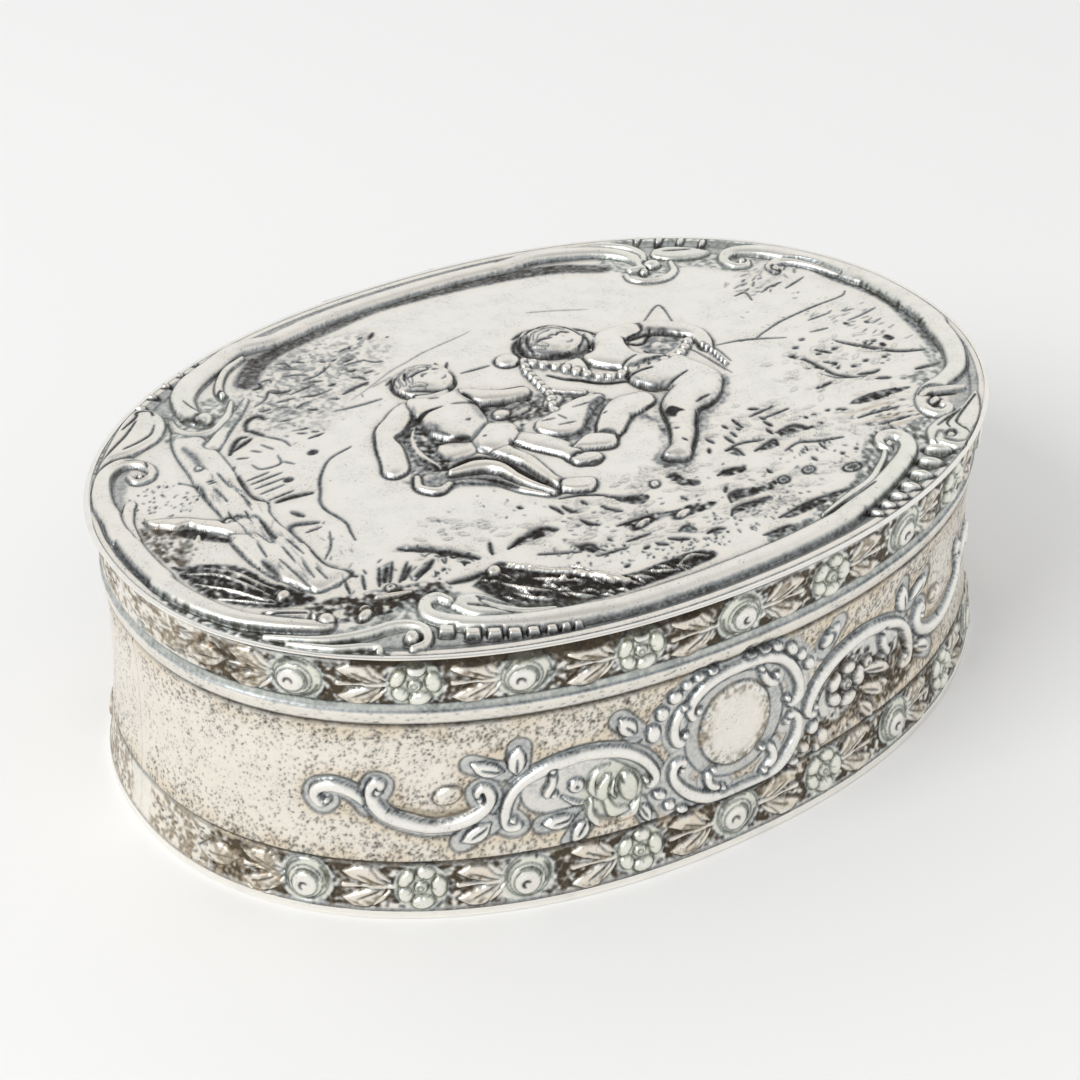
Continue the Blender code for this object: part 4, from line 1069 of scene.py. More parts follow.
def draw_left_drapery(board):
    """The strip of drapery behind the left child, with its shadows."""
    board.stain_and_shade([(-12.4, 6), (-14.2, 4.8), (-15.8, 3.6), (-16.2, 0.6), (-17.6, -2), (-17, -3.6),
                 (-15, -3.6), (-14.6, 0), (-13.4, 3.4)], 0.55, 0, 0.5, grain=0.4, seed=56)
    board.stain_and_shade([(-19, -3), (-15, -4), (-12, -3), (-9, -5), (-7, -12.5), (-8.6, -13.4),
                 (-10.5, -11), (-12, -9), (-15, -7), (-18, -6.8)], 0.5, 0, 0.5, grain=0.2, seed=9)
    board.shape([(-12, 9.2), (-13.6, 8.5), (-15.1, 7.4), (-16.6, 6.3), (-17.6, 4.6), (-18.5, 2.6),
                 (-19.2, 0.6), (-19.9, -1), (-19.5, -2), (-18.5, -2.2), (-17.4, -1.6), (-16.6, 0.2),
                 (-16, 2), (-15.8, 3.9), (-14.4, 4.6), (-13.2, 5.6), (-12.2, 6.8), (-11, 8.6)],
                0.6, 1.3, **LIMB)
    board.tube([(-17.6, -3.4), (-18.2, -5), (-17, -6.4), (-15.4, -5.9)], [0.35, 0.45, 0.5, 0.3], 0.35,
               **LIMB)
    board.stain_and_shade([(-12.2, 6), (-14, 4.9), (-15.4, 3.6), (-16, 0.6), (-16.6, -1.6), (-16.2, -3.2),
                 (-14, -3.8), (-13, -2.4), (-12, 0), (-12, 3)], 0.78, 0, 0.35, grain=0.35, seed=70)
    board.tube([(-13.2, 4.6), (-14.6, 2.6), (-15.2, 0), (-14.8, -3)], [0.05, 0.22, 0.28, 0.1], 0.16,
               ditch=0, patina_and_shade=0)
    board.shape([(-13.2, 0.2), (-12, 0), (-10.8, -0.6), (-9.7, -1.3), (-10.4, -2.6), (-12, -2.8),
                 (-13.6, -2.4), (-13.9, -1)], 0.45, 1.1, **BELLY)


def draw_left_legs(board):
    """The left child's legs and feet."""
    board.tube([(-14.5, -4.6), (-11.6, -5.2), (-10.2, -6.6), (-9.7, -8.8), (-9.1, -10.8), (-7.9, -12.6)],
               [0.4, 0.8, 0.75, 0.5, 0.5, 0.3], 0.7, **LIMB)
    board.tube([(-15, -5.7), (-13, -6.9), (-11.4, -8.4), (-10.4, -10.4), (-8.7, -12.6)],
               [0.2, 0.4, 0.45, 0.4, 0.2], 0.3, ditch=0.1, spread=0.25, patina_and_shade=0.7)
    board.tube([(-5.9, -2.9), (-4.4, -5), (-3.2, -7), (-2.8, -8.6), (-2, -9.9)],
               [1.0, 1.3, 1.25, 1.0, 0.7], 0.6, **LIMB)
    board.shape([(-3.9, -8.8), (-2, -8.7), (-0.8, -9.4), (-1.1, -10.3), (-3.4, -10)], 0.4, 0.5, **LIMB)
    board.tube([(-8.6, -2.4), (-8.1, -4.8), (-7.3, -6.6), (-7.1, -9), (-6.9, -11), (-6.2, -12.2)],
               [1.3, 1.0, 0.8, 0.7, 0.55, 0.6], 0.65, **LIMB)
    board.shape([(-7.4, -12.6), (-6.3, -11.5), (-4.6, -12.1), (-3.6, -12.9), (-4.6, -14.1),
                 (-6.2, -13.6)], 0.45, 0.5, **LIMB)


def draw_left_body(board):
    """The left child's hips and chest."""
    board.shape([(-10.1, -1), (-8.3, 0.2), (-7.2, 0.7), (-6.2, 0.3), (-5.1, -0.5), (-5, -1.6),
                 (-5.9, -2.8), (-7.4, -3.6), (-9, -3.7), (-10.2, -2.6)], 0.6, 1.4, base=0.1, **BELLY)
    board.shape([(-11.5, 9.2), (-9.5, 8.8), (-7.3, 8.1), (-5.8, 8.3), (-6, 7), (-5.8, 5), (-6.3, 3),
                 (-6.7, 1.4), (-7.4, 0.8), (-8.3, 0.2), (-9.9, -0.9), (-11.2, -0.4), (-12.2, 1.2),
                 (-12.8, 3), (-12.5, 4.4), (-12, 5.8), (-12.1, 7.6)], 0.75, 1.9, base=0.12,
                **BELLY)
    board.cuts([[(-12.2, 5.9), (-11.2, 5.4), (-9.6, 5.3)], [(-8.5, 5.2), (-7.4, 4.7), (-6.6, 4.2)],
                [(-11.8, 0.5), (-11, -0.2), (-10, -0.9)]], 0.17, 0.12, 0.7)
    for wedge in ([(-12.6, 6.3), (-11.4, 5.7), (-9.6, 5.3), (-11.2, 5.1), (-12.4, 4.7), (-13, 5)],
                  [(-12.3, 0.7), (-11, 0.1), (-9.8, -0.8), (-11, -0.6), (-12.2, -0.1)],
                  [(-7, 5), (-6, 4.4), (-5.4, 3), (-6, 3.2), (-6.6, 4)]):
        board.stain_and_shade(wedge, 0.95, 0, 0.22)
    board.cuts([[(-8.9, 1.8), (-8.5, 1.8)], [(-8.8, 1.7), (-8.6, 1.7)], [(-9, -1.5), (-8.7, -1.5)],
                [(-9.9, 7.4), (-9, 7)], [(-12.5, 4), (-12.6, 3), (-12, 1.8), (-11.5, 0.7)]], 0.18, 0.1,
               0.75)


def draw_left_arm(board):
    """The left child's arm, stretched out to the cloth, and its shadow."""
    board.stain_and_shade([(-6.2, 4.8), (-4.8, 4), (-3, 3.2), (-1, 2.8), (-0.8, 1.6), (-3, 1.2), (-5.6, 0.8),
                 (-6.6, 1.2), (-6.4, 3)], 0.6, 0, 0.35, grain=0.3, seed=75)
    board.shape([(-6.2, 8), (-5, 7.7), (-3.8, 6.6), (-2.6, 5.8), (-1.2, 5.3), (-0.2, 4.9), (-0.1, 3.9),
                 (-0.8, 3.1), (-2, 3.2), (-3.2, 3.5), (-4.6, 4.2), (-5.6, 4.8), (-6.4, 6)], 0.55, 1.1,
                base=0.12, ditch=0.12, spread=0.26, patina_and_shade=0.85)
    board.cuts([[(-5.8, 8), (-4.9, 7.2), (-3.7, 6.1), (-2.5, 5.3), (-1.2, 4.8), (-0.3, 4.5)],
                [(-6.1, 4.5), (-4.5, 3.8), (-2.8, 3.1), (-1, 2.8)],
                [(-6.2, 7), (-6.1, 4.8), (-6.2, 2.6)]], 0.3, 0.14, 0.95)
    board.blob(-4.9, 1.8, 0.9, 0.8, 0, 0.35, **LIMB)


def draw_left_shadows(board):
    """The left child's neck, painted shade along the body's edges, painted shadows beside body and legs,
    and a painted dark reflection along the drapery.
    """
    board.shape([(-10.2, 10.2), (-8, 9.4), (-6.9, 8.4), (-8.6, 7.6), (-10.6, 8.4)], 0.3, 0.8,
                base=0.3, ditch=0.05, spread=0.15, patina_and_shade=0.3)
    # Painted shade along both edges of the torso.
    board.stain_and_shade([(-12.7, 4.6), (-11.6, 3), (-11.8, 0.8), (-10, -0.8), (-11.4, -1.6), (-13, 0),
                 (-13.2, 3)], 0.4, 0, 0.6, grain=0.3, seed=57)
    board.stain_and_shade([(-7, 7.4), (-6, 7), (-6.2, 4), (-6.9, 1.4), (-7.6, 1.6), (-7.2, 4.4)], 0.3, 0, 0.5)
    # A cut groove painted black, and a black band beside it, as the painted dark reflection between
    # drapery and leg.
    board.cuts([[(-14.2, -3.7), (-12.5, -3.3), (-11, -3.8), (-9.3, -5.2), (-8.7, -7.6), (-8, -10.4),
                 (-7.6, -12.6)]], 0.55, 0.24, 1.0)
    board.stain_and_shade([(-14.2, -3.9), (-13.2, -3.1), (-11.6, -3), (-10, -3.9), (-8.8, -5.8), (-8.1, -9),
                 (-7.5, -12.6), (-8.4, -11), (-9, -8), (-9.8, -5.8), (-10.8, -4.8), (-12.4, -4.3)], 1.0,
                0, 0.25)
    board.cut([(-15.4, -5.4), (-13.6, -6.2), (-12, -7.8), (-10.6, -10.2)], 0.34, 0.2, 0.9)


def draw_left_head(board):
    """The left child's head with loose strands of hair."""
    draw_face(board, -8, 11.8, 3.3, 28)
    board.cuts([[(-10.5, 10.3), (-9, 9.2), (-7.5, 8.7), (-6, 9.2), (-5.2, 10), (-5.1, 11.4)],
                [(-4.7, 12.8), (-3.8, 14)], [(-5.2, 13.4), (-4.9, 14.6)], [(-6, 14), (-6.3, 15)],
                [(-11.3, 13.5), (-10.3, 14.2), (-9, 14.8)], [(-10, 12), (-9.3, 13.2)],
                [(-11.2, 12.4), (-10.4, 13.2)], [(-9.5, 12.1), (-8.2, 12.5), (-7, 12.6), (-6.7, 13)]],
               0.2, 0.12, 0.85)


def draw_left_child(board):
    """The putto at the left, striding with a strip of drapery."""
    draw_left_drapery(board)
    draw_left_legs(board)
    draw_left_body(board)
    draw_left_arm(board)
    draw_left_shadows(board)
    draw_left_head(board)


def draw_right_shadows(board):
    """The shadows round the right child."""
    board.stain_and_shade([(10.8, 10.5), (11, 9), (10.2, 7.2), (8.8, 6.5), (7.4, 7), (5.8, 7.8), (4.6, 9),
                 (3.3, 10), (2.7, 11.8), (3.4, 12), (5, 9.8), (7, 8.4), (9, 8.2), (10, 9.5)],
                0.6, 0, 0.4)
    board.cuts([[(18.2, 10.1), (21.7, 12.4), (20.9, 9), (20.4, 8)]], 0.15, 0.1, 0.7)
    board.stain_and_shade([(2.2, -3.9), (3.4, -2.6), (5, -1.9), (6.2, -2.2), (5.4, -1.2), (3.6, -1.5),
                 (1.8, -3.2), (-0.4, -5.6), (0.4, -6)], 0.6, 0, 0.35, grain=0.2, seed=10)
    board.stain_and_shade([(2.8, -13), (5, -11.2), (7, -8.2), (6.6, -7.4), (5.2, -6.2), (5.5, -5.2),
                 (9.5, -5.8), (13, -3), (15, -2.4), (18.5, -3.6), (17.8, -5.6), (15.6, -8),
                 (12.6, -9.4), (9.6, -12.6), (6.8, -15), (4.4, -15.8), (3, -14.6)], 0.4, 0, 0.4,
                grain=0.4, seed=11)


def draw_right_body(board):
    """The right child's far arm and body."""
    board.tube([(14.2, 8.8), (17, 8.6), (19.3, 7.3), (21, 5.2), (21, 3.4), (20.4, 2)],
               [1.3, 1.25, 1.25, 1.25, 0.95, 0.7], 0.65, **LIMB)
    board.shape([(11, 9.2), (12.5, 10.2), (14.6, 10.1), (16.6, 9.6), (16.2, 8), (14.2, 7.6),
                 (13.4, 6.4), (13.3, 4.4), (14.4, 3.2), (15.6, 2.2), (15.8, 1), (14.9, -2),
                 (12.9, -2), (11.2, -2.4), (10.2, -1.2), (10, 0.3), (10.2, 1.6), (9.8, 2.9),
                 (9, 3.7), (8, 5.2), (8, 6.6), (9.6, 7.2)], 0.72, 2.0, base=0.12, **LIMB)
    board.stain_and_shade([(13.5, 7.8), (14.3, 6.3), (15.3, 6.3), (16.2, 7), (17.1, 8), (19.6, 5.8),
                 (19, 4.6), (17.5, 3.4), (15.5, 2.9), (14.5, 4.5)], 0.5, 0, 0.35, grain=0.3, seed=53)
    board.blob(16.2, 5, 0.8, 0.5, 30, 0.15, base=0, ditch=0, patina_and_shade=0)
    board.cuts([[(13.7, 7.4), (14.4, 6.2), (15.4, 6.1), (16.4, 6.9), (17.2, 7.6)],
                [(14.4, 4.6), (14.8, 3.6), (15.8, 2.9)]], 0.26, 0.14, 0.95)


def draw_right_legs(board):
    """The right child's legs and feet."""
    board.tube([(8.4, -3.5), (7.2, -3.6), (5.6, -3.9), (4.2, -4.8), (2.7, -6.2), (1.3, -7.4)],
               [1.3, 1.7, 1.6, 1.5, 1.4, 0.9], 0.72, **LIMB)
    board.shape([(-2.6, -7.4), (-1.2, -6.5), (0.3, -6.2), (2.2, -7.6), (1.3, -9.1), (-0.8, -8.5)],
                0.5, 0.7, **LIMB)
    board.shape([(10.4, 1.6), (13.4, 1.9), (16.4, 1.6), (17.3, -0.4), (17.9, -2.2),
                 (17.9, -4), (16.8, -5.6), (15.3, -7), (13.6, -7.8), (11.9, -8.1), (10.3, -10),
                 (9, -11.8), (7.5, -13.3), (6, -14.7), (4, -13.3), (5.8, -12), (7, -10.4),
                 (8, -8.5), (8.9, -6.2), (9.8, -5), (11, -4.1), (12.2, -3.3), (11.6, -2.8),
                 (10.4, -2.4), (9.7, -1.2), (9.5, 0.4)], 0.78, 1.9, base=0.12, flat=1, **LIMB)
    board.cuts([[(9.7, -1), (10.4, -2.3), (11.6, -2.9), (13, -2.8), (14.8, -2.3)]], 0.18, 0.14, 0.85)
    board.stain_and_shade([(8.6, -7), (9.4, -6.9), (9.9, -8), (10.1, -8.4), (9.2, -8.4), (8.7, -8.8),
                 (8.4, -8)], 1.0, 0, 0.25)
    board.cuts([[(12.2, -7.4), (13, -7.2), (14.1, -7)], [(6.9, -12.4), (7.3, -12.7)],
                [(7.6, -10.2), (7.8, -10.6)], [(3.3, -4.1), (3.7, -4.1)],
                [(12.4, 3.3), (10.8, 2.8), (9.5, 2.2)],
                [(11.9, -8.2), (10.4, -9.8), (9.2, -11.5), (7, -13.8)]], 0.17, 0.12, 0.85)


def draw_right_head(board):
    """The right child's hands, neck and head, with loose hair."""
    board.shape([(5.7, 6.8), (7.5, 6.7), (7.6, 5.5), (7, 4), (6.2, 4.8)], 0.35, 0.6, base=0.1, **LIMB)
    board.blob(1.4, 10.6, 1.3, 1.2, 0, 0.55, **LIMB)
    board.shape([(8, 8.6), (10.4, 8.4), (11.4, 9.6), (11, 10.8), (8.6, 10)], 0.3, 0.8, base=0.3,
                ditch=0.05, spread=0.15, patina_and_shade=0.3)
    draw_face(board, 7.2, 11.5, 3.5, 8)
    board.cuts([[(9.9, 13.7), (11.4, 12.2), (12.4, 10.4)], [(10.5, 10), (10, 8.4), (9.2, 7.3)],
                [(10.7, 10.8), (11.6, 10.8), (12.5, 10.5)]], 0.2, 0.12, 0.85)
    board.cuts([[(3, 10.4), (3.1, 12), (4, 13.4), (5.4, 14.4)], [(3.6, 10.2), (3.8, 12), (4.8, 13.4)],
                [(4.2, 9.8), (4.4, 11.4), (5.2, 12.8)], [(4.4, 14.4), (6, 15), (8, 14.9)],
                [(5.6, 13.6), (7, 14.2), (8.4, 14)], [(9.6, 12.9), (10.2, 11.6), (10.3, 10.6)]], 0.26,
               0.14, 0.92)
    board.cuts([[(5.2, 11), (6, 11.3), (7, 11)], [(7.8, 11.2), (8.6, 11.5), (9.3, 11.3)]], 0.26, 0.12,
               0.85)


def draw_right_garland(board):
    """The garland with an engraved line along its underside painted black as its shade, and the edges of
    leg and arm.
    """
    draw_garland(board, [(2.6, 9.2), (2.1, 8.3), (1.7, 7.3), (1.6, 6.3), (1.5, 5.3), (1.35, 4.3),
                         (1.3, 3.3), (1.1, 2.3), (0.7, 1.3), (0.2, 0.3), (-0.3, -0.7)], 0.5)
    draw_garland(board, [(3.2, 8.5), (3.9, 7.6), (4.8, 6.7), (5.4, 5.7), (5.9, 4.6), (6.5, 3.5),
                         (7.3, 2.5), (8.3, 1.9), (9.5, 1.6), (10.8, 1.5), (12.1, 1.5), (13.4, 1.5),
                         (14.7, 1.5), (16, 1.7), (17.2, 2.1), (18.3, 2.8), (19.2, 3.6)], 0.55)
    draw_garland(board, [(20, 2.2), (20.1, 1.5), (20.2, 0.8), (20.2, 0.1), (20.1, -0.6), (20, -1.3),
                         (19.9, -2)], 0.27)
    # The line under the garland is cut and painted black as the shade beneath its beads.
    board.cuts([[(3.2, 5.8), (3.8, 4.8), (4.3, 4.1), (5.5, 3), (6.4, 1.9), (7.5, 1.1), (9, 0.6),
                 (10.4, 0.4), (12.2, 0.2)]], 0.3, 0.14, 0.95)
    board.cuts([[(18.6, 3), (19, 0.8), (19.2, -1.6), (19.4, -3.8)],
                [(21.1, 1.6), (21, 0), (20.8, -1.8)]], 0.16, 0.1, 0.65)
    board.cuts([[(17.8, 9.7), (16, 10), (12.5, 10.2)], [(18, -2.4), (18.2, -3.6), (17.8, -5)]], 0.15,
               0.08, 0.6)


def draw_right_child(board):
    """The putto at the right, seated with a garland over arm and knees."""
    draw_right_shadows(board)
    draw_right_body(board)
    draw_right_legs(board)
    draw_right_head(board)
    draw_right_garland(board)


def draw_between(board):
    """The cloth, the stick and the leaf that lie between the two children."""
    board.stain_and_shade([(-5.4, 0.8), (-4.8, 3.4), (-2, 3.9), (1, 3), (2.6, 2.8), (4.8, 0.8), (5.6, -1),
                 (1.2, -0.2), (-0.4, -0.9), (-3.4, -0.9), (-5, -2.4), (-5.8, -1)], 0.62, 0.1, 0.5,
                grain=0.4, seed=12)
    board.stain_and_shade([(5.8, -1.6), (3.6, -3.2), (1, -5.6), (-1.2, -6.2), (-3, -5.2), (-4.6, -3), (-2, -4),
                 (2, -3)], 0.6, 0, 0.4, grain=0.3, seed=74)
    board.shape([(-4.6, 2.4), (-3, 3.1), (-1.4, 2.4), (-1.8, 1.2), (-3.4, 0.7), (-4.6, 1.2)], 0.3, 0.9,
                **CLOTH)
    board.shape([(0.6, -0.4), (3, 0), (5.2, -0.5), (5.2, -1.5), (3.6, -2.4), (2, -3.6), (0.6, -4.8),
                 (-1, -5.2), (-2.6, -4.4), (-3.6, -2.8), (-3, -1.6), (-1, -1)], 0.38, 0.7, base=0.08,
                **CLOTH)
    board.tube([(2, 2.8), (4.2, 0.9)], [0.4, 0.45], 0.35, soft=False, **CLOTH)
    board.shape([(-0.6, 0.9), (0.9, 2.3), (2, 1.2), (0.8, 0.1), (-0.2, 0)], 0.3, 0.7, **CLOTH)
    board.cuts([[(-3.8, 1.6), (-2.6, 2.1)], [(-2.6, -2), (-1.2, -2.3)], [(-1.6, -3.5), (0.2, -3.9)],
                [(1.4, -1.5), (3.4, -1.6)], [(-0.6, -1.9), (-0.3, -3)]], 0.13, 0.1, 0.75)


def draw_grass(board):
    """Low raised strokes of grass all over the meadow."""
    for outline, count, length, turn, wander, width, seed in (
            ([(-14, -15.5), (6, -15.5), (12, -19), (20, -23), (8, -26), (-8, -24), (-15, -19)], 130, 1.7,
             -8, 18, 0.24, 60),
            ([(8, -10), (16, -8.5), (24, -12), (32, -14), (34, -17), (26, -21), (14, -19)], 90, 1.3, -4,
             26, 0.22, 61),
            ([(-26.5, -9), (-20, -9), (-14, -14.5), (-17, -17), (-24, -15)], 30, 1.2, -38, 20, 0.2, 62),
            ([(22, -4), (38, -2), (38, -8.6), (32, -12), (22, -11)], 60, 1.2, 8, 22, 0.2, 63),
            ([(-9, -14), (4, -13.5), (6, -17), (-8, -18)], 30, 1.1, -20, 40, 0.24, 64)):
        board.dashes(outline, count, length, turn, wander, seed, width, 0.34, rise=0.1)


def draw_reeds(board):
    """The dark hollow at the left with its pebbles and reeds."""
    board.stain_and_shade([(-36, -14.6), (-33, -15.2), (-30, -16.2), (-26, -17.4), (-23.6, -18.6), (-24.6, -20.6),
                 (-28, -20.2), (-33, -19), (-36, -17)], 0.85, 0.2, 0.7, grain=0.5, seed=20)
    board.blob(-31.6, -18.1, 0.62, 0.55, 0, 0.3, base=0, ditch=0.14, spread=0.24, patina_and_shade=1.0)
    board.blob(-28.2, -16.7, 0.5, 0.42, 0, 0.25, base=0, ditch=0.12, spread=0.2, patina_and_shade=1.0)
    board.cut([(-28.3, -16.7), (-28.1, -16.7)], 0.18, 0.12, 0.8)
    board.tube([(-30, -17.2), (-28.4, -17.8), (-27, -18.2)], [0.2, 0.28, 0.15], 0.3, ditch=0.1,
               spread=0.2, patina_and_shade=0.95)
    for foot, tip, width in (((-28.9, -15.9), (-27.6, -13.6), 0.42),
                             ((-27.8, -15.9), (-26.2, -13.5), 0.4),
                             ((-27.1, -16.4), (-25.1, -14.3), 0.44),
                             ((-30.2, -15.6), (-29.4, -13.7), 0.36),
                             ((-31.6, -15.4), (-31.2, -13.8), 0.34),
                             ((-25.8, -17), (-23.6, -15.7), 0.4)):
        board.cut([foot, tip], 0.5 * width, 0.14, 0.9)
    board.cuts([[(-25.4, -16.4), (-24, -15.9), (-23, -15.3)],
                [(-16, -17.4), (-12.5, -16.6), (-11, -17.5)], [(-28.2, -15.6), (-27, -13.9)],
                [(-26.6, -16.2), (-25.2, -15)]], 0.36, 0.16, 0.95)
    board.cut([(-24.7, -12.2), (-22.5, -13.8), (-20.6, -15.8), (-19.4, -17.3)], 0.42, 0.16, 0.95)
    board.dashes([(-25, -12), (-23, -12.6), (-19, -17), (-20.4, -17.6), (-23, -15)], 30, 0.7, -45, 25, 69,
                 0.16, 0.9)
    board.cut([(-23.4, -19), (-21.6, -19.4), (-20, -19.4)], 0.4, 0.16, 0.95)
    board.dashes([(-24.4, -16.9), (-20.8, -17), (-20.8, -18), (-24.4, -18)], 14, 0.4, 75, 14, 65, 0.13,
                 0.85)


def draw_bank(board):
    """The dark bank at the front, with blades that hang over it."""
    board.stain_and_shade([(-22, -20.5), (-20.5, -24.5), (-19, -26), (-16, -27.5), (-8.5, -28.5), (-1, -28.4),
                 (-2, -26.8), (-9.3, -26.4), (-11, -25), (-13, -23.1), (-15, -21.8), (-17, -20.1),
                 (-18.5, -18.8)], 0.98, 0, 0.4, grain=0.15, seed=14)
    board.blob(-19.3, -19.8, 0.75, 0.62, 20, 0.5, ditch=0.12, spread=0.22, patina_and_shade=1.0)
    board.tube([(-17.7, -19.4), (-16.5, -21), (-15, -22.4), (-13.5, -23.6), (-12, -24.9), (-10.8, -26.2),
                (-9.8, -27.3)], [0.15, 0.4, 0.3, 0.4, 0.25, 0.5, 0.3], 0.55, ditch=0, patina_and_shade=0)
    for line, width in (([(-13.4, -22.6), (-12.4, -23.4), (-11.6, -24.8)], 0.2),
                        ([(-15.4, -25.6), (-14.6, -26.8), (-13.4, -27.6)], 0.24),
                        ([(-17, -22.4), (-15, -23.9), (-13.2, -24.9)], 0.24),
                        ([(-19.6, -21.6), (-18, -23.6), (-16.4, -24.8)], 0.24),
                        ([(-19.4, -23.4), (-18, -25.2), (-16.6, -26)], 0.18),
                        ([(-17, -20.6), (-15.6, -22), (-14.2, -23)], 0.16),
                        ([(-9.4, -26.6), (-8.4, -27.4), (-7.6, -28)], 0.18),
                        ([(-7.4, -26.9), (-6.2, -27.8), (-4.8, -28.3)], 0.18),
                        ([(-4.4, -27.6), (-2.8, -27.2), (-1.4, -28)], 0.16)):
        board.tube(line, [0.06, width, 0.06], 0.36, ditch=0, patina_and_shade=0)
    board.dashes([(-21, -20.4), (-18.6, -19), (-9, -26.4), (-3, -27.4), (-3, -28.3), (-12, -28),
                  (-19.6, -25.6)], 40, 1.5, -48, 14, 68, 0.13, 0.0, rise=0.3)


def draw_stones(board):
    """Dark gaps between the tufts, and the stones in them."""
    for outline, patina_and_shade in (
            ([(-16.4, -17.6), (-14.6, -16.8), (-12.4, -16.6), (-11.2, -17.5), (-12.2, -17.8),
              (-15, -17.8)], 0.85),
            ([(-4.2, -15.6), (-2.6, -16.8), (-1.1, -17.2), (-0.8, -17.8), (-2, -18.5),
              (-3.4, -17.4)], 0.85),
            ([(-6, -20), (-4, -20.1), (-2, -20.2), (0, -20.8), (2, -20.8), (4.1, -21.7), (2.8, -22.2),
              (0.4, -22), (-1.2, -21.2), (-3.6, -21.3), (-4.8, -20.8)], 0.85),
            ([(5.3, -22.5), (6, -21.3), (7.5, -21.2), (9, -21.8), (11, -21.7), (10, -22.7)], 0.85),
            ([(4.1, -24.1), (5.4, -23.2), (9, -23.5), (8.6, -24.1)], 0.8),
            ([(-1.6, -23.6), (-0.4, -23.2), (0, -24.2), (-0.6, -24.6)], 0.8),
            ([(0.5, -25.2), (1.4, -25), (2.4, -25.4), (1.4, -25.8)], 0.8),
            ([(-11, -20.4), (-9.6, -21), (-9.2, -22.2), (-10.2, -22.2), (-11, -21.2)], 0.9),
            ([(4.9, -28), (8, -28.1), (8, -28.9), (5.6, -29)], 0.75),
            ([(7.8, -26.6), (12, -26), (17, -26.2), (12.5, -27), (9, -27.2)], 0.85),
            ([(16.2, -15.2), (18.6, -15), (19.6, -16), (21.2, -15.8), (20.9, -16.4), (16.6, -16.1)], 0.8),
            ([(10, -15.3), (11, -15.4), (11.1, -16.8), (10.2, -16.4)], 0.75),
            ([(12.4, -16.8), (15.2, -16.1), (15, -17.1), (12.8, -17.3)], 0.85),
            ([(6.8, -18.3), (8.2, -18), (9.9, -18.4), (9.4, -19.1), (7.4, -18.9)], 0.8),
            ([(2.5, -16), (3.5, -16.1), (3.6, -17.1), (4.8, -18), (4.2, -18.7), (2.8, -17.8)], 0.75)):
        board.stain_and_shade(outline, patina_and_shade, 0, 0.22, grain=0.35, seed=len(outline))
        board.cut(outline[:3], 0.22, 0.14, 0.9)
    for x, y, long, short, turn in ((-3.7, -20.9, 1.0, 0.35, 12), (0.4, -21.6, 0.95, 0.4, 8),
                                    (0.8, -16.4, 0.5, 0.42, 30)):
        board.blob(x, y, long, short, turn, 0.25, base=0, ditch=0.1, spread=0.22, patina_and_shade=0.9)
    for x, y, long, short, turn in ((11.9, -22, 0.6, 0.45, 20), (15, -21.9, 0.65, 0.45, 10),
                                    (19, -23.6, 0.95, 0.55, 0)):
        board.blob(x, y, long, short, turn, 0.1, base=-0.16, ditch=0.12, spread=0.2, patina_and_shade=0.95)
        board.stain_and_shade([(x - 0.8 * long, y), (x, y + 0.8 * short), (x + 0.8 * long, y),
                     (x, y - 0.8 * short)], 0.66, 0, 0.25)


def draw_tufts(board):
    """The short deep strokes and the long finer ones of the tufts."""
    board.cuts([
        [(-9.6, -14.2), (-9.3, -15), (-9.2, -15.8)], [(-8.6, -14.8), (-8.4, -15.7), (-7.9, -16.2)],
        [(-8.3, -17.4), (-8, -18.3), (-7.3, -19)], [(-5.5, -16.7), (-5, -17.6), (-4.3, -18.3)],
        [(-12.2, -12.7), (-11.9, -13)], [(-18, -17.5), (-17.7, -16.7), (-17.3, -15.9)],
        [(1.8, -19.4), (1.9, -20)], [(11.4, -13.3), (11.5, -14.6)], [(12.4, -13), (12.4, -13.8)],
        [(13.9, -11.2), (13.9, -12.8)], [(16.4, -13), (16.6, -14)], [(15.8, -14.3), (15.8, -15.2)],
        [(12.4, -11.6), (12.5, -12.1)], [(16.5, -10.4), (17.3, -10.8)], [(16.5, -12.2), (16.8, -12.7)],
        [(13.3, -12.7), (13.5, -13)], [(9.6, -12.7), (9.8, -13.6)], [(11.5, -20), (11.6, -20.5)],
        [(16.6, -20.4), (16.7, -21)], [(19.5, -21.3), (19.8, -21.3)], [(21.2, -21.3), (21.5, -21.3)],
        [(8.8, -14.2), (8.4, -14.8)], [(20.4, -14.5), (20.6, -14.5)], [(21.4, -14.4), (21.7, -14.5)],
        [(23.1, -14.5), (23.4, -14.5)], [(24.2, -14.8), (25, -15.3)], [(-7.8, -21.2), (-7.7, -21.5)],
        [(5.8, -20.8), (6.4, -20.2)], [(-4.4, -24), (-3.6, -24.7)],
        [(-3, -24), (-2.2, -24.6), (-1.4, -25)], [(-5.8, -24.1), (-5.2, -24)],
        [(-8.8, -25.4), (-8.3, -25.3)], [(-6.6, -15), (-6.5, -15.7)]], 0.26, 0.14, 0.9)
    board.cuts([
        [(15, -18.2), (17, -17.7), (18.5, -18.3), (21.5, -19.1)],
        [(15.7, -11.6), (17.2, -11.4), (18.8, -11.2)], [(16.8, -12.5), (20, -12.3)],
        [(25, -17.1), (27.4, -17.1), (30, -17.4)], [(26.5, -19), (30, -19.3)],
        [(-14.5, -19.8), (-12.8, -20.6), (-11, -21.5)], [(-10.5, -20.5), (-9.6, -21.4), (-9, -22.5)],
        [(-10, -22.8), (-8.4, -23), (-7, -23.2)], [(-6.6, -22.4), (-4, -22.5)],
        [(-8.2, -13.6), (-6, -14.2), (-4, -15.6)], [(10, -15.2), (12, -15), (14.4, -15.6)]], 0.2, 0.12,
               0.85)


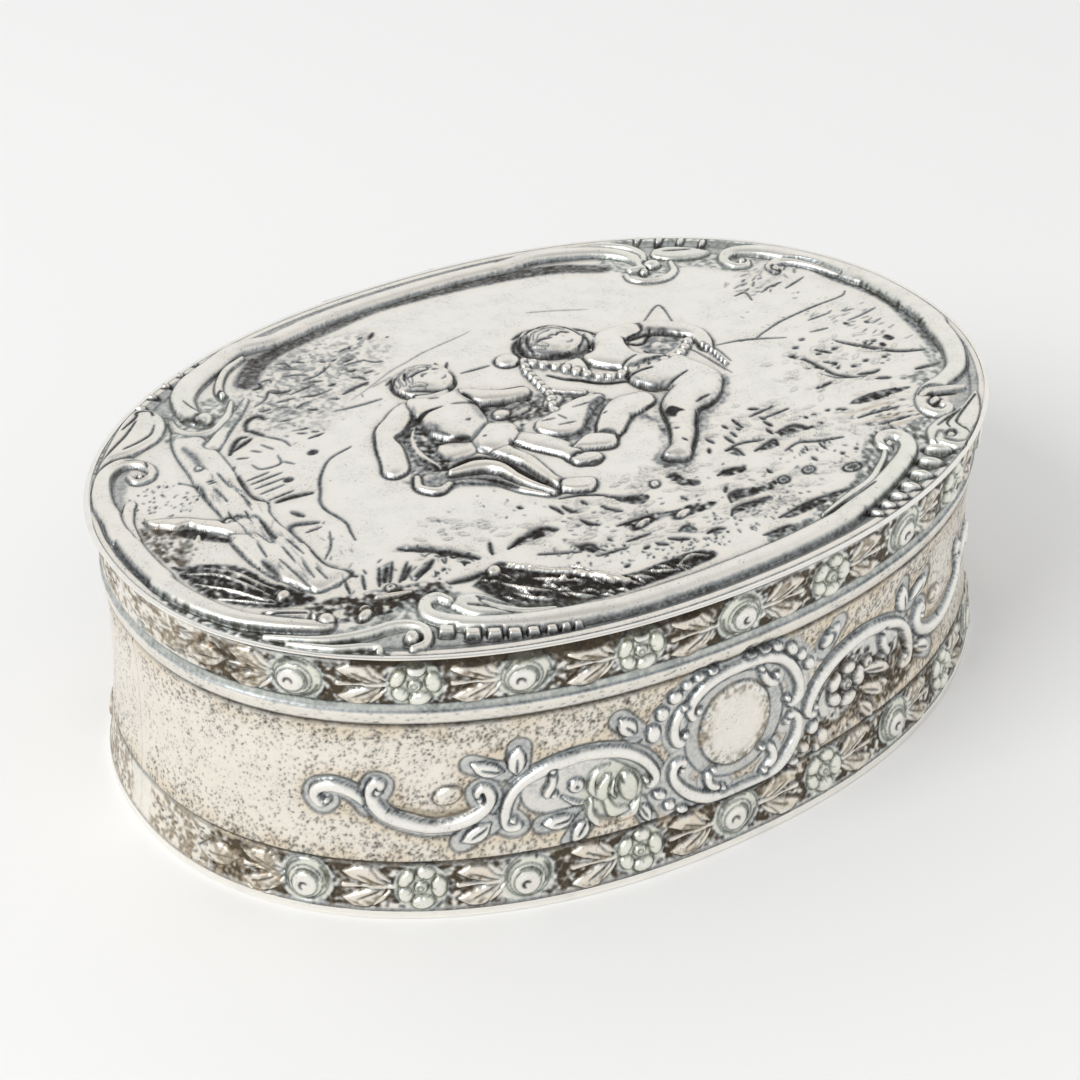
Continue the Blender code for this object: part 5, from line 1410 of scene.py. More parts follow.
def draw_slopes(board):
    """The shaded slope at the right, and fine strokes over all the ground."""
    board.stain_and_shade([(25.8, -14.7), (27, -14.2), (30, -14.1), (33.6, -15), (31, -15.4), (27.4, -15.3)], 0.95,
                0, 0.25, grain=0.3, seed=67)
    for line in ([(24, -16.2), (27.5, -16), (31, -16.6)], [(24.5, -18), (28, -18.2), (31, -18.6)],
                 [(25.5, -19.6), (28, -19.8), (30.5, -20)]):
        board.stain_and_shade([*line, (line[1][0], line[1][1] - 0.4)], 0.25, 0.8, 0.35)
    for outline, count, length, turn, wander, seed, width, patina_and_shade in (
            ([(-14, -19), (-9.5, -21), (-6, -23.5), (-2, -25), (4, -26.4), (7, -27.4), (0, -27.6),
              (-7, -25.8), (-12, -23.4)], 90, 0.3, 20, 60, 15, 0.13, 0.8),
            ([(2, -23), (12, -23.5), (14, -25.6), (4, -27)], 50, 0.3, 10, 60, 16, 0.13, 0.75),
            ([(24, -16.6), (32, -16.6), (31.5, -20), (25, -19)], 40, 0.8, -5, 12, 17, 0.12, 0.7),
            ([(14.6, -18), (21, -18.8), (20, -20.4), (15.4, -19.4)], 22, 0.6, 80, 20, 18, 0.14, 0.8),
            ([(-33, -13.4), (-24, -12), (-20, -16), (-23, -17), (-32, -15.4)], 24, 0.8, 65, 30, 19, 0.14,
             0.75), ([(-21, -10), (-12, -8.5), (-10, -14), (-18, -15.4)], 16, 0.4, 30, 60, 21, 0.12,
                     0.6), ([(-14, -16), (4, -16), (22, -20), (22, -24), (4, -25), (-13, -20)], 110, 0.5,
                            -10, 30, 66, 0.12, 0.6)):
        board.dashes(outline, count, length, turn, wander, seed, width, patina_and_shade)


def draw_meadow(board):
    """The ground under the figures."""
    draw_grass(board)
    draw_reeds(board)
    draw_bank(board)
    draw_stones(board)
    draw_tufts(board)
    draw_slopes(board)


def draw_far_right(board):
    """The slope, bushes and pebbles right of the second child."""
    board.stain_and_shade([(41, 13), (41.5, 8), (42.7, 4), (43, 0), (42.5, -3), (41, -9), (40.3, -11),
                 (42.2, -10), (43.9, -3), (44.2, 3), (43, 9)], 0.6, 0, 0.6, grain=0.2, seed=22)
    board.cuts([
        [(26, 0.8), (28, 1.6), (31, 2.6), (36, 3.5), (40, 4), (41.3, 4.8)],
        [(21.5, 1.7), (24, 1.3), (26, 0.6), (28.8, -0.7)],
        [(32.8, -3.5), (33.5, -4.5), (35, -6.2), (36.5, -7.8), (38, -9), (39, -9.1)],
        [(30, 9.8), (31.5, 9.9), (31, 8)], [(33, 9), (34.6, 9.7), (36.5, 10)], [(36, 8.5), (39.5, 9.8)],
        [(33.3, 1.2), (36.5, 1.5)], [(31.8, -1), (34, -1.2)], [(37, -0.9), (39, -0.6), (41.5, 0)],
        [(27.4, -9), (28, -9.9), (29, -10.4), (31, -11.2)]], 0.17, 0.1, 0.75)
    board.cuts([
        [(26.6, -4), (27.6, -5.6), (28, -7.6), (28.4, -9.4), (29.6, -10.6)],
        [(29.8, -4.2), (30.8, -5.6)], [(33, -4), (34.5, -6), (37, -8.5), (40, -9.8)],
        [(29, -6.8), (29.9, -7.6), (29.4, -8.6)], [(30.5, -10.5), (32, -10.9), (33, -10.8)],
        [(36.5, -12.5), (39.5, -12.7)], [(25, -10.6), (27, -10.4)], [(31.6, -12), (33, -12.6)]], 0.3,
               0.14, 0.85)
    for x, y, size in ((35.6, -5.8, 0.5), (38.3, -6, 0.6), (36.8, -6.9, 0.4), (38.6, -2.2, 0.35),
                       (36.4, -1.4, 0.35)):
        board.stain_and_shade(ring(x, y, size), 0.9, 0, 0.3, grain=0.3, seed=58)
    for x, y in ((31, 9), (31.5, 11.5), (33, 13.6)):
        board.stain_and_shade([(x, y), (x + 3.5, y + 1.4), (x + 7, y + 2.4), (x + 3.5, y + 1.9)], 0.34, 0.2, 0.9,
                    grain=0.3, seed=59)
    board.cuts([[(x - 0.25, y), (x + 0.25, y + 0.1)] for x, y in (
        (31.8, -5.1), (36.5, -5.8), (38.5, -6), (27.8, -7.3), (29.6, -7.9), (31.2, -9), (33, -8.7),
        (35.3, -9), (29.6, -5.2), (26.9, -4.3), (28.3, -3), (30, -1.9))], 0.32, 0.13, 0.8)
    board.dashes([(26, -11), (38, -9.8), (36, -4), (32, -2.5), (26, -4)], 24, 0.45, 20, 60, 23, 0.13,
                 0.65)
    board.dashes([(24, -2), (40, 2), (41, 8), (28, 9), (23, 4)], 20, 0.5, 10, 50, 24, 0.11, 0.5)
    board.dashes([(30, 13), (31, 8.4), (36, 9), (40, 11), (40, 13.4), (35, 14.4)], 34, 1.1, 24, 25, 71,
                 0.17, 0.6)
    board.dashes([(33, 2), (41, 3), (41, -8), (36, -4)], 30, 1.4, 12, 12, 72, 0.13, 0.5)


def draw_lid():
    """The whole drawing of the lid, painted from the ground up."""
    board = Board(*LID_BOARD)
    draw_border(board)
    draw_foliage(board)
    draw_tree(board)
    draw_far_right(board)
    draw_meadow(board)
    draw_between(board)
    draw_left_child(board)
    draw_right_child(board)
    draw_frame(board)
    board.finish()
    # A thin brown edge round dark hollows, and none in the deepest ones or over the green film.
    tarnish = 0.6 * soften(board.patina_and_shade, 0.8 / board.cell) * (1 - board.patina_and_shade) ** 2
    board.warm = np.where(board.warm < -0.05, board.warm, np.maximum(board.warm, tarnish))
    return board


def lid_plan(columns, rows):
    """Places of the lid's grid: square rings that turn into the oval."""
    across, up = np.meshgrid(np.linspace(-1, 1, columns), np.linspace(-1, 1, rows))
    out = np.maximum(np.abs(across), np.abs(up))
    size = np.maximum(out, 1e-9)
    upright = np.abs(up) >= np.abs(across)
    quarter, eighth = math.pi / 2, math.pi / 4
    angle = np.where(upright, np.where(up > 0, quarter - across / size * eighth,
                                       across / size * eighth - quarter),
                     np.where(across > 0, up / size * eighth, math.pi - up / size * eighth))
    field, edge, ring_band = 0.8, 0.55, 5.5
    depth = edge + np.clip((1 - out) / (1 - field), 0, 1) * ring_band
    x, y = oval(angle, -depth)
    share = np.minimum(out / field, 1)
    return x * share, y * share


def lowest_nearby(values, reach):
    """The lowest value within a reach of cells along both axes."""
    for axis in (0, 1):
        lowest = values.copy()
        for shift in range(1, reach + 1):
            for way in (shift, -shift):
                lowest = np.minimum(lowest, np.roll(values, way, axis))
        values = lowest
    return values


def make_lid():
    """The embossed lid in four fields, its gilt inside and the wire round it."""
    board = draw_lid()
    level = RIM[1][2] / MM - BELOW_WIRE
    step = 8
    half_columns, half_rows = ((320, 240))
    x, y = lid_plan(2 * half_columns + 1, 2 * half_rows + 1)
    z = level + dome_height(x, y) + board.read(board.height, x, y)
    under = soften(lowest_nearby(board.height, 7), 6)
    floor = level + dome_height(x, y) + np.minimum(board.read(under, x, y), 0.5)
    face = np.stack([x, y, z], 2)
    rear = np.stack([x, y, np.minimum(floor, z) - LID_SKIN], 2)
    normals = face_normals(face)
    # The darkness read here holds real patina and painted shade alike.
    patina_and_shade, warm = board.read(board.patina_and_shade, x, y), board.read(board.warm, x, y)
    for row, depth in enumerate(("front", "back")):
        for column, side in enumerate(("left", "right")):
            part = (slice(row * half_rows, (row + 1) * half_rows + 1),
                    slice(column * half_columns, (column + 1) * half_columns + 1))
            piece = relief_sheet(face[part], rear[part][::step, ::step], step, normals[part],
                                 {"patina": patina_and_shade[part], "warmth": warm[part]})
            settle(piece, f"lid_field_{depth}_{side}", "lid", "embossed_silver", "lid_sheet")
    make_lid_inside(rear)
    make_rim()


def make_lid_inside(rear):
    """The gilt inside of the lid, which shows the embossing from behind."""
    step = 4
    top = rear[::step, ::step].copy()
    top[..., 2] -= LID_GAP
    bottom = top.copy()
    bottom[..., 2] -= GILT_SKIN
    low = bottom[::-1].copy()
    piece = relief_sheet(low, top[::-1][::step, ::step], step, face_normals(low), {})
    settle(piece, "lid_inside", "lid", "gilt_inside", "lid_sheet")


def make_rim():
    """The wire soldered round the lid, rounded at its outer edges."""
    low, high = RIM[0][2] / MM, RIM[1][2] / MM
    section = [(-0.12, high, 1), (-0.03, high - 0.05, 1), (0, high - 0.14, 1), (0, low + 0.34, 1),
               (-0.03, low + 0.25, 1), (-0.12, low + 0.2, 1), (-WIRE, low + 0.2, 1),
               (-WIRE, high - 0.03, 1), (0.06 - WIRE, high, 1)]
    piece = lathed(section, 512, round_the_oval)
    settle(piece, "lid_rim_wire", "lid", "polished_silver", "lid_rim")


# Walls, where s is a place along the wall from its middle.

def wall_profile(z):
    """How far the wall's smooth outer face stands out from the lid's oval."""
    return np.interp(z, [FOOT, 1.3, 3.0, WAIST - 0.25, WAIST, WAIST + 0.25, 8, 10, 13.75, 17.5, 20,
                         MOUTH - 0.25, MOUTH, MOUTH + 0.25, 22.2, 22.7, 23.1, 23.3, 23.85, 24.1,
                         28.3, TOP],
                     [0.62, 0.45, 0.15, -0.2, -0.42, -0.22, -0.48, -0.68, -0.9, -1.08, -1.0, -0.92,
                      -1.12, -0.9, -0.74, -0.68, -0.72, -0.92, -1.06, -0.92, -0.78, -0.85])


def wall_rear(z):
    """The wall's deepest outer face close to a height, which the inner faces keep clear of."""
    return np.min([wall_profile(z + step) for step in np.linspace(-0.8, 0.8, 9)], 0)


def wall_places(columns):
    """Angles along the front wall at even steps, with the arc length from its middle."""
    angle = np.linspace(-math.pi, 0, 8001)
    x, y = oval(angle, -WALL_INSET)
    length = np.concatenate([[0], np.cumsum(np.hypot(np.diff(x), np.diff(y)))])
    wanted = np.linspace(SEAM, length[-1] - SEAM, columns)
    return np.interp(wanted, length, angle), wanted - length[-1] / 2


def leaf(board, foot, tip, width, rise=0.4, bend=0.0, worn=0.0):
    """A pointed leaf between two places, swollen in the middle, with a rib."""
    foot, tip = np.array(foot, float), np.array(tip, float)
    across = np.array([foot[1] - tip[1], tip[0] - foot[0]]) * bend
    middle = (foot + tip) / 2 + across
    board.tube([foot, middle, tip], [0.1 * width, 0.85 * width, width, 0.8 * width, 0.1 * width],
               rise, ditch=0.12, spread=0.2, patina_and_shade=0.85)
    if worn:
        board.stain_and_shade([foot, middle + 0.9 * across / (bend or 1) * 0.25, 0.3 * middle + 0.7 * tip, middle],
                    worn, 0.8, 0.5, grain=0.8, seed=int(7 * abs(foot[0])))
    board.cut([foot + 0.1 * (tip - foot), middle * 0.7 + tip * 0.3], 0.13, 0.14, 0.85)


def draw_rose(board, s, z, turn):
    """A rose: a bright ball, wrapped by petals more widely on one side."""
    board.stain_and_shade(ring(s, z, 2.6), 0.12, -0.7, 0.35, grain=0.3, seed=31, clean=True)
    dx, dy = math.cos(math.radians(turn)), math.sin(math.radians(turn))
    for away, size, base in ((0.12, 2.25, 0.0), (-0.2, 1.72, 0.2), (-0.36, 1.26, 0.36)):
        board.blob(s + away * dx, z + away * dy, size, 0.94 * size, turn, 0.3, base=base,
                   ditch=0.12, spread=0.15, patina_and_shade=0.75)
    board.stain_and_shade(ring(s - 0.36 * dx, z - 0.36 * dy, 1.05), 0, 0.1, 0.4, clean=True)
    for away, radius, first, last, width in ((0.1, 1.95, 30, 115, 0.2), (0.1, 1.95, -110, -40, 0.2),
                                             (-0.2, 1.36, -70, 40, 0.16)):
        board.cut(ring(s + away * dx, z + away * dy, radius, turn + first, turn + last), width,
                  0.14, 0.8)
    board.cut(ring(s - 0.5 * dx, z - 0.5 * dy, 0.36, turn - 40, turn + 160), 0.15, 0.14, 0.85)


def draw_flower(board, s, z, size=1.0, green=0.8, turn=0):
    """A flower of five plump petals about a small eye, on a pale film."""
    if green:
        board.stain_and_shade(ring(s, z, 2.5 * size), 0.1, -green, 0.35, grain=0.2, seed=32, clean=True)
    for place, long, short in ((80, 0.85, 0.66), (150, 1.0, 0.62), (214, 0.85, 0.66),
                               (280, 1.05, 0.68), (4, 1.1, 0.72)):
        angle = math.radians(place + turn)
        x, y = s + 1.62 * size * math.cos(angle), z + 1.6 * size * math.sin(angle)
        board.blob(x, y, long * size, short * size, place + turn + 90, 0.46, ditch=0.12,
                   spread=0.16, patina_and_shade=0.85)
        board.stain_and_shade(ring(x, y, 0.6 * short * size), 0, 0.05 - 0.15 * green, 0.4, clean=True)
        board.cut([(0.75 * s + 0.25 * x, 0.75 * z + 0.25 * y), (0.2 * s + 0.8 * x, 0.2 * z + 0.8 * y)],
                  0.1, 0.08, 0.5)
    board.blob(s, z, 0.62 * size, 0.6 * size, 0, 0.36, base=0.1, ditch=0.12, spread=0.15, patina_and_shade=0.85)
    board.cut(ring(s, z, 0.26 * size, 0, 360), 0.11 * size, 0.14, 0.8)


def draw_band(board, middle, seed):
    """A band of roses and flowers in turn, with leaves between them."""
    random = np.random.default_rng(seed)
    board.stain_and_shade(block(-53, middle - 2.2, 50, middle + 2.3), 0.98, 0.45, 0.5, soft=False,
                grain=0.45, seed=seed)
    for side in (-1, 1):
        for vertex in (3.4, 13.4, 23.8, 34.0, 44.0):
            s = DIE_MIDDLE + side * (vertex + random.normal() * 0.15)
            for up in (-1, 1):
                tilt = random.normal() * 0.15
                leaf(board, (s, middle + 0.2 * up), (s + side * 3.9, middle + 1.5 * up + tilt),
                     0.95, 0.42, 0.12 * side * up, worn=0.45)
                board.tube([(s - 0.4 * side, middle + 0.5 * up), (s + 0.4 * side, middle + 1.3 * up),
                            (s + 1.1 * side, middle + 2.0 * up)], [0.1, 0.28, 0.1], 0.24,
                           ditch=0.08, spread=0.15, patina_and_shade=0.7)
            board.tube([(s - 1.0 * side, middle), (s + 3.8 * side, middle)], [0.2, 0.2, 0.12, 0.3],
                       0.2, soft=False, ditch=0.08, spread=0.16, patina_and_shade=0.7)
        leaf(board, (DIE_MIDDLE + side * 48.4, middle + 0.2),
             (DIE_MIDDLE + side * 52.8, middle - 0.4), 1.25, 0.45, worn=0.5)
    for place, turn in ((-41.5, 25), (-21.3, 40), (0, 140), (21.5, 60), (41.5, 30)):
        draw_rose(board, DIE_MIDDLE + place, middle + 0.05,
                  turn if middle == MOUTH_BAND else 100 - turn / 2)
    for place in (-31, -10.5, 10.7, 31.5):
        draw_flower(board, DIE_MIDDLE + place, middle, turn=random.uniform(-10, 10))


def sink(board, points, width, depth=0.12, patina_and_shade=0.24, edge=0.68):
    """A sunk grey ground along a path, with a fine dark line round it."""
    window, distance, _ = board.trace(smooth_path(points), width + 0.6)
    inside = np.clip((width - distance) / 0.25 + 0.5, 0, 1)
    board.height[window] = np.minimum(board.height[window], -depth * inside)
    line = edge * np.exp(-((distance - width) / 0.17) ** 2)
    board.warm[window] = np.where(distance < width, -0.3, board.warm[window])
    board.patina_and_shade[window] = np.where(distance < width - 0.16, np.minimum(np.maximum(
        board.patina_and_shade[window], patina_and_shade * inside), patina_and_shade), np.maximum(board.patina_and_shade[window], line))
    board.taken[window] |= distance < width + 0.1


SIDE_SCROLLS = (
    ([(-24.1, 9.9), (-23.6, 9.1), (-24.6, 9.3), (-24.8, 10.8), (-24.2, 12.7), (-22.7, 14.2), (-20, 15.3),
      (-17, 15.7), (-14, 15.1), (-11.8, 13.7), (-10.5, 12), (-10.2, 10.8), (-10.8, 10.3), (-11.2, 11)],
     [0.3, 0.5, 0.55, 0.55, 0.6, 0.65, 0.65, 0.65, 0.6, 0.55, 0.5, 0.3]),
    ([(-37.2, 12.2), (-38.4, 13.6), (-40.2, 14.3), (-41.7, 13.9), (-42.1, 12.9), (-41.5, 12.1),
      (-40.9, 12.6)], [0.2, 0.45, 0.6, 0.65, 0.6, 0.4, 0.3]),
    ([(-36.2, 13.9), (-35.9, 14.8), (-36.5, 15), (-36.9, 14), (-36.6, 12.6), (-35.6, 11.4), (-34, 10.6),
      (-32, 10), (-30, 10), (-28.2, 10.5), (-26.7, 11.5), (-26.1, 12.8), (-26.6, 13.9), (-27.3, 13.5),
      (-27.1, 12.6)], [0.3, 0.5, 0.6, 0.65, 0.65, 0.6, 0.6, 0.65, 0.65, 0.6, 0.45, 0.3]),
    ([(-20.3, 14.6), (-20.4, 13.2), (-20.9, 12.2), (-20.2, 11.9)], [0.35, 0.4, 0.45, 0.3]))

SIDE_LEAVES = (
    ((-18.4, 9), (-21.3, 8.8), 0.75), ((-17.1, 8.4), (-18.6, 6.4), 0.8),
    ((-23.7, 14.9), (-23.4, 17.8), 0.9), ((-24.9, 15.4), (-27.8, 16.6), 0.8),
    ((-26.2, 9.7), (-28.8, 8.1), 0.85), ((-12.2, 16.6), (-13.8, 18.6), 0.9),
    ((-11.9, 8.4), (-10.9, 6.3), 0.6))

SMALL_BEADS = (
    (-4.3, 21, 0.6, 0.4, 10), (-5.8, 20.8, 0.6, 0.4, 20), (-7, 20.3, 0.6, 0.5, 30),
    (-8.2, 19.3, 0.75, 0.7, 0), (-9.5, 17.8, 0.7, 0.75, 0), (-10.4, 15.9, 0.75, 0.95, 0),
    (0, 21.2, 0.7, 0.4, 0), (1.6, 21.1, 0.7, 0.45, -10), (3.1, 20.7, 0.65, 0.5, -30),
    (5, 19.6, 0.85, 0.6, -60), (6.3, 18.3, 0.6, 0.65, 0), (7.4, 16.8, 0.75, 0.6, -60),
    (-9.8, 8.8, 0.75, 0.5, -30), (-8.8, 7.3, 0.6, 0.5, 0), (-7.5, 6.4, 0.7, 0.42, -20),
    (5.4, 6.3, 0.6, 0.42, 10), (6.8, 7.3, 0.6, 0.6, 0), (8, 9, 0.8, 0.6, 45), (9.2, 7.5, 0.7, 0.95, 0),
    (9.6, 18.4, 0.9, 0.6, 45))

CARTOUCHE = (
    ([(-5.6, 16.8), (-6.3, 16.3), (-6.6, 17.5), (-5.6, 19), (-3.6, 20), (-1.2, 20.3), (1.4, 20.1),
      (3.6, 19.1), (5.2, 17.4), (6.1, 15.4), (6.1, 13.8), (5.2, 13.2), (4.7, 14)],
     [0.35, 0.5, 0.55, 0.55, 0.6, 0.6, 0.6, 0.6, 0.6, 0.55, 0.5, 0.35]),
    ([(1.4, 18.9), (2, 17.4), (2.9, 16.6), (3.4, 17.3)], [0.3, 0.45, 0.5, 0.35]),
    ([(-7.2, 17.8), (-8.1, 16.6), (-8.3, 15), (-7.7, 13.9), (-7, 14.6)], [0.3, 0.5, 0.55, 0.55, 0.35]),
    ([(-7.4, 10.7), (-7.2, 11.6), (-8.1, 11.6), (-8.4, 10.4), (-7.7, 8.9), (-6.2, 7.4), (-4, 6.4),
      (-1, 6), (1.6, 6.2), (4, 7.1), (5.7, 8.9), (6.1, 10.8), (5.4, 11.9), (4.7, 11.2)],
     [0.3, 0.45, 0.55, 0.6, 0.6, 0.6, 0.6, 0.6, 0.6, 0.55, 0.5, 0.3]),
    ([(-3, 7.1), (-4.3, 7.8), (-4.6, 8.9), (-3.9, 9.4)], [0.2, 0.4, 0.45, 0.3]),
    ([(1.8, 7), (2.9, 8), (2.6, 9.3), (1.6, 9.6)], [0.25, 0.45, 0.5, 0.35]))


def mirrored(points, side):
    """Ornament points for the left as they are, or carried over to the right."""
    if side < 0:
        return [tuple(point) for point in points]
    return [(-1.7 - 1.06 * (s + 1.7), 13.4 + 1.1 * (z - 12.9)) for s, z in points]


def draw_scroll(board, path, widths, long, short):
    """A strand of the ornament with a small knob on either end."""
    board.tube(path, widths, 0.5, **ORNAMENT)
    for end in (path[0], path[-1]):
        board.blob(*end, long, short, 0, 0.42, **ORNAMENT)


def draw_grounds(board):
    """The sunk ground round all scrolls, leaves and beads, with its films."""
    board.taken = np.zeros(board.height.shape, bool)
    for side in (-1, 1):
        for points, widths in SIDE_SCROLLS:
            sink(board, mirrored(points, side), max(widths) + 0.5)
        sink(board, mirrored([(-20.7, 12.6), (-17, 12.6), (-14.2, 10.6)], side), 2.7, 0.14, 0.14)
        board.stain_and_shade(mirrored(ring(-14.8, 11, 3.6), side), 0, -0.5, 1.0)
        for foot, tip, width in SIDE_LEAVES:
            sink(board, mirrored([foot, tip], side), width + 0.3)
    for points, widths in CARTOUCHE:
        sink(board, points, max(widths) + 0.7, 0.12, 0.2, 0.4)
    for s, z, long, *_ in SMALL_BEADS:
        sink(board, [(s - 0.05, z), (s + 0.05, z)], long + 0.5, 0.12, 0.2, 0.3)
    sink(board, ring(-1.4, 13.7, 4.6, 0, 360), 1.1, 0.14, 0.24)
    for side in (-1, 1):
        board.stain_and_shade(mirrored([(-35.2, 12.6), (-33, 11.2), (-30.4, 10.8), (-27.8, 11.5), (-28.4, 12),
                              (-31, 11.8), (-33.4, 12.3)], side), 0.45, 0.8, 0.4)
    board.stain_and_shade(ring(-1.4, 13.8, 8.4), 0.16, -0.8, 1.4, grain=0.5, seed=33)
    near = np.clip(2.4 * soften(board.taken * 1.0, 1.1 / board.cell), 0, 1) * (1 - board.taken)
    board.warm = np.maximum(board.warm, 0.7 * near)


def draw_plate(board):
    """The punched oval plate in the cartouche."""
    plate = [(PLATE[0] + 4.05 * math.cos(angle), PLATE[1] + 4.55 * math.sin(angle))
             for angle in np.linspace(0, 2 * math.pi, 28)[:-1]]
    board.shape(plate, 0.2, 0.9, base=-0.05, ditch=0.05, spread=0.3, patina_and_shade=0.7)
    board.stain_and_shade(plate, 0.5, 0.95, 0.8, grain=0.9, seed=34)
    board.dashes(plate, 420, 0.12, 0, 90, 73, 0.08, 0.9)
    board.stain_and_shade([(PLATE[0] + 0.8 * (s - PLATE[0]), PLATE[1] + 0.8 * (z - PLATE[1]))
                 for s, z in plate], 0, 0.12, 1.5, clean=True)
    s, z = np.meshgrid(board.x, board.y)
    board.taken |= np.hypot((s - PLATE[0]) / 3.2, (z - PLATE[1]) / 3.7) < 1


def draw_side_scrolls(board):
    """The scrolls, leaves and buds on both sides of the cartouche."""
    board.stain_and_shade([(4.5, 6.6), (9, 6.4), (16, 6.6), (23, 7.4), (25, 9.6), (18, 10), (10.5, 9.6),
                 (7, 8.6)], 0.75, 0.5, 0.7, grain=0.8, seed=36)
    board.stain_and_shade([(11.5, 8.6), (14, 7.2), (20, 7), (24.5, 8.4), (24, 11.4), (21, 13), (17.5, 12.6),
                 (15.8, 14.6), (12.6, 15.2), (10.2, 13.2)], 0.85, 0.25, 0.6, grain=0.5, seed=35)
    for side in (-1, 1):
        for points, widths in SIDE_SCROLLS:
            draw_scroll(board, mirrored(points, side), widths, 0.34, 0.3)
        for first, last in (((-23.6, 12.9), (-19.4, 14.6)), ((-39.6, 13.6), (-37.4, 12)),
                            ((-35.4, 11.9), (-31, 10.5))):
            middle = ((first[0] + last[0]) / 2 - 0.2, (first[1] + last[1]) / 2 + 0.3)
            board.cut(mirrored([first, middle, last], side), 0.13, 0.12, 0.75)
        for foot, tip, width in SIDE_LEAVES:
            leaf(board, *mirrored([foot, tip], side), width, 0.42, 0.05)
        bud, eye = mirrored([(-30, 13.4), (-18.1, 12.4)], side)
        board.blob(*bud, 1.35, 0.95, -20 * side, 0.5, **ORNAMENT)
        board.blob(*eye, 0.75, 0.75, 0, 0.35, **ORNAMENT)
        board.cut([eye, (eye[0] + 0.05, eye[1])], 0.3, 0.2, 1.0)


def draw_blossoms(board):
    """The large open blossom at the left and the flower at the right."""
    for points, widths in (
            ([(-14.9, 13.8), (-16.2, 13.3), (-16.7, 11.8), (-15.9, 10.3)], [0.12, 0.3, 0.4, 0.2]),
            ([(-16.7, 10.4), (-16.8, 8.9), (-15.9, 7.7), (-14.4, 7.4)], [0.2, 0.4, 0.4, 0.15]),
            ([(-15, 12.6), (-15.6, 11.2), (-15.1, 9.6)], [0.3, 0.65, 0.3]),
            ([(-15.2, 10), (-14.6, 8.6), (-13.2, 8.4)], [0.3, 0.6, 0.3]),
            ([(-13.9, 7.6), (-12.6, 8), (-11.9, 9.2)], [0.3, 0.5, 0.15]),
            ([(-14.4, 12), (-14.7, 10.9), (-14.2, 9.9)], [0.1, 0.25, 0.1])):
        board.tube(points, widths, 0.4, **PETAL)
    board.blob(-13, 11, 0.95, 1.65, 8, 0.6, base=0.08, **PETAL)
    board.stain_and_shade(ring(-14.4, 10.6, 3.4), 0.08, -0.55, 0.8)
    board.cut([(-13.8, 12.2), (-13.6, 11.7)], 0.2, 0.14, 0.9)
    board.tube([(-19.4, 11.4), (-18.4, 10.6), (-17.2, 10.2)], [0.1, 0.22, 0.1], 0.3, **ORNAMENT)
    draw_flower(board, 12.5, 11.9, 1.15, 0)
    leaf(board, (15, 12.2), (19.4, 10.2), 0.8, 0.4, 0.06)
    leaf(board, (14.8, 10.2), (18.2, 7.9), 0.8, 0.4, 0.06)


def draw_cartouche(board):
    """The scrolls and beads round the plate."""
    for points, widths in CARTOUCHE:
        draw_scroll(board, points, widths, 0.36, 0.32)
    for s, z, long, short, turn in SMALL_BEADS:
        board.blob(s, z, long, short, turn, 0.42, **ORNAMENT)


def draw_ornament(board):
    """The cartouche in the middle of the waist and the scrolls on both sides."""
    draw_grounds(board)
    draw_plate(board)
    draw_side_scrolls(board)
    draw_blossoms(board)
    draw_cartouche(board)


def draw_pits(board, count, seed):
    """Fine dark pits over the plain ground of the waist, closer near ornament and grooves."""
    random = np.random.default_rng(seed)
    near = soften(board.taken * 1.0, 1.8 / board.cell)
    reach = np.arange(-5, 6) * board.cell
    dx, dy = np.meshgrid(reach, reach)
    for s, z, luck, size, turn, dark in zip(
            random.uniform(-63, 63, count), random.uniform(6.3, 21.2, count),
            random.uniform(size=count), random.uniform(0.045, 0.1, count),
            random.normal(1.4, 0.6, count), random.uniform(0.5, 1.1, count)):
        column, row = int((s - board.left) / board.cell), int((z - board.low) / board.cell)
        crowd = min(1, abs(z - 13.7) ** 3 / 300 + 2.2 * near[row, column])
        if luck > 0.42 + 0.6 * crowd or board.taken[row, column]:
            continue
        size *= 0.85 + 0.5 * crowd
        along = dx * math.cos(turn) + dy * math.sin(turn)
        across = dy * math.cos(turn) - dx * math.sin(turn)
        dot = np.exp(-(along / (1.35 * size)) ** 2 - (across / size) ** 2)
        part = (slice(row - 5, row + 6), slice(column - 5, column + 6))
        board.height[part] -= 0.06 * dot
        board.patina_and_shade[part] = np.maximum(board.patina_and_shade[part], dark * dot)
        board.warm[part] = np.maximum(board.warm[part], 0.8 * dot)


def draw_films(board):
    """A thin film on the bands, a browner one on the waist, brownest along its edges."""
    s, z = np.meshgrid(board.x, board.y)
    board.warm += np.where((z > WAIST) & (z < MOUTH), 0.22, 0.14)
    edge = (np.exp(-((z - 6.2) / 1.6) ** 2) * (z > WAIST)
            + np.exp(-((z - 21.2) / 1.4) ** 2) * (z < MOUTH))
    cloud = soften(np.random.default_rng(40).normal(size=s.shape), 9) * 12
    board.warm += 0.45 * edge * np.clip(cloud + 0.6, 0, 1.3)


def draw_grooves(board):
    """The dark lines beside the mouldings, fainter towards the seams, and the bright fillet."""
    s, z = np.meshgrid(board.x, board.y)
    fade = np.interp(np.abs(s), [0, 46, 60, 64], [1, 1, 0.6, 0.5])
    left, right = WALL_BOARD[:2]
    board.stain_and_shade(block(left, 23.25, right, 24), 0.36, -0.4, 0.15, soft=False, grain=0.1, seed=49)
    for level, width, dark in ((5.95, 0.26, 0.85), (21.55, 0.34, 0.85), (23.2, 0.14, 0.6),
                               (23.95, 0.2, 0.75), (28.75, 0.22, 0.7), (1.0, 0.2, 0.6)):
        board.patina_and_shade = np.maximum(board.patina_and_shade, dark * fade * np.exp(-((z - level) / width) ** 2))
    board.stain_and_shade(block(left, 22.1, right, 22.95), 0.06, 0.2, 0.3, soft=False, clean=True)
    board.dashes(block(-56, 22, 56, 23), 160, 0.5, 0, 5, 44, 0.07, 0.5)


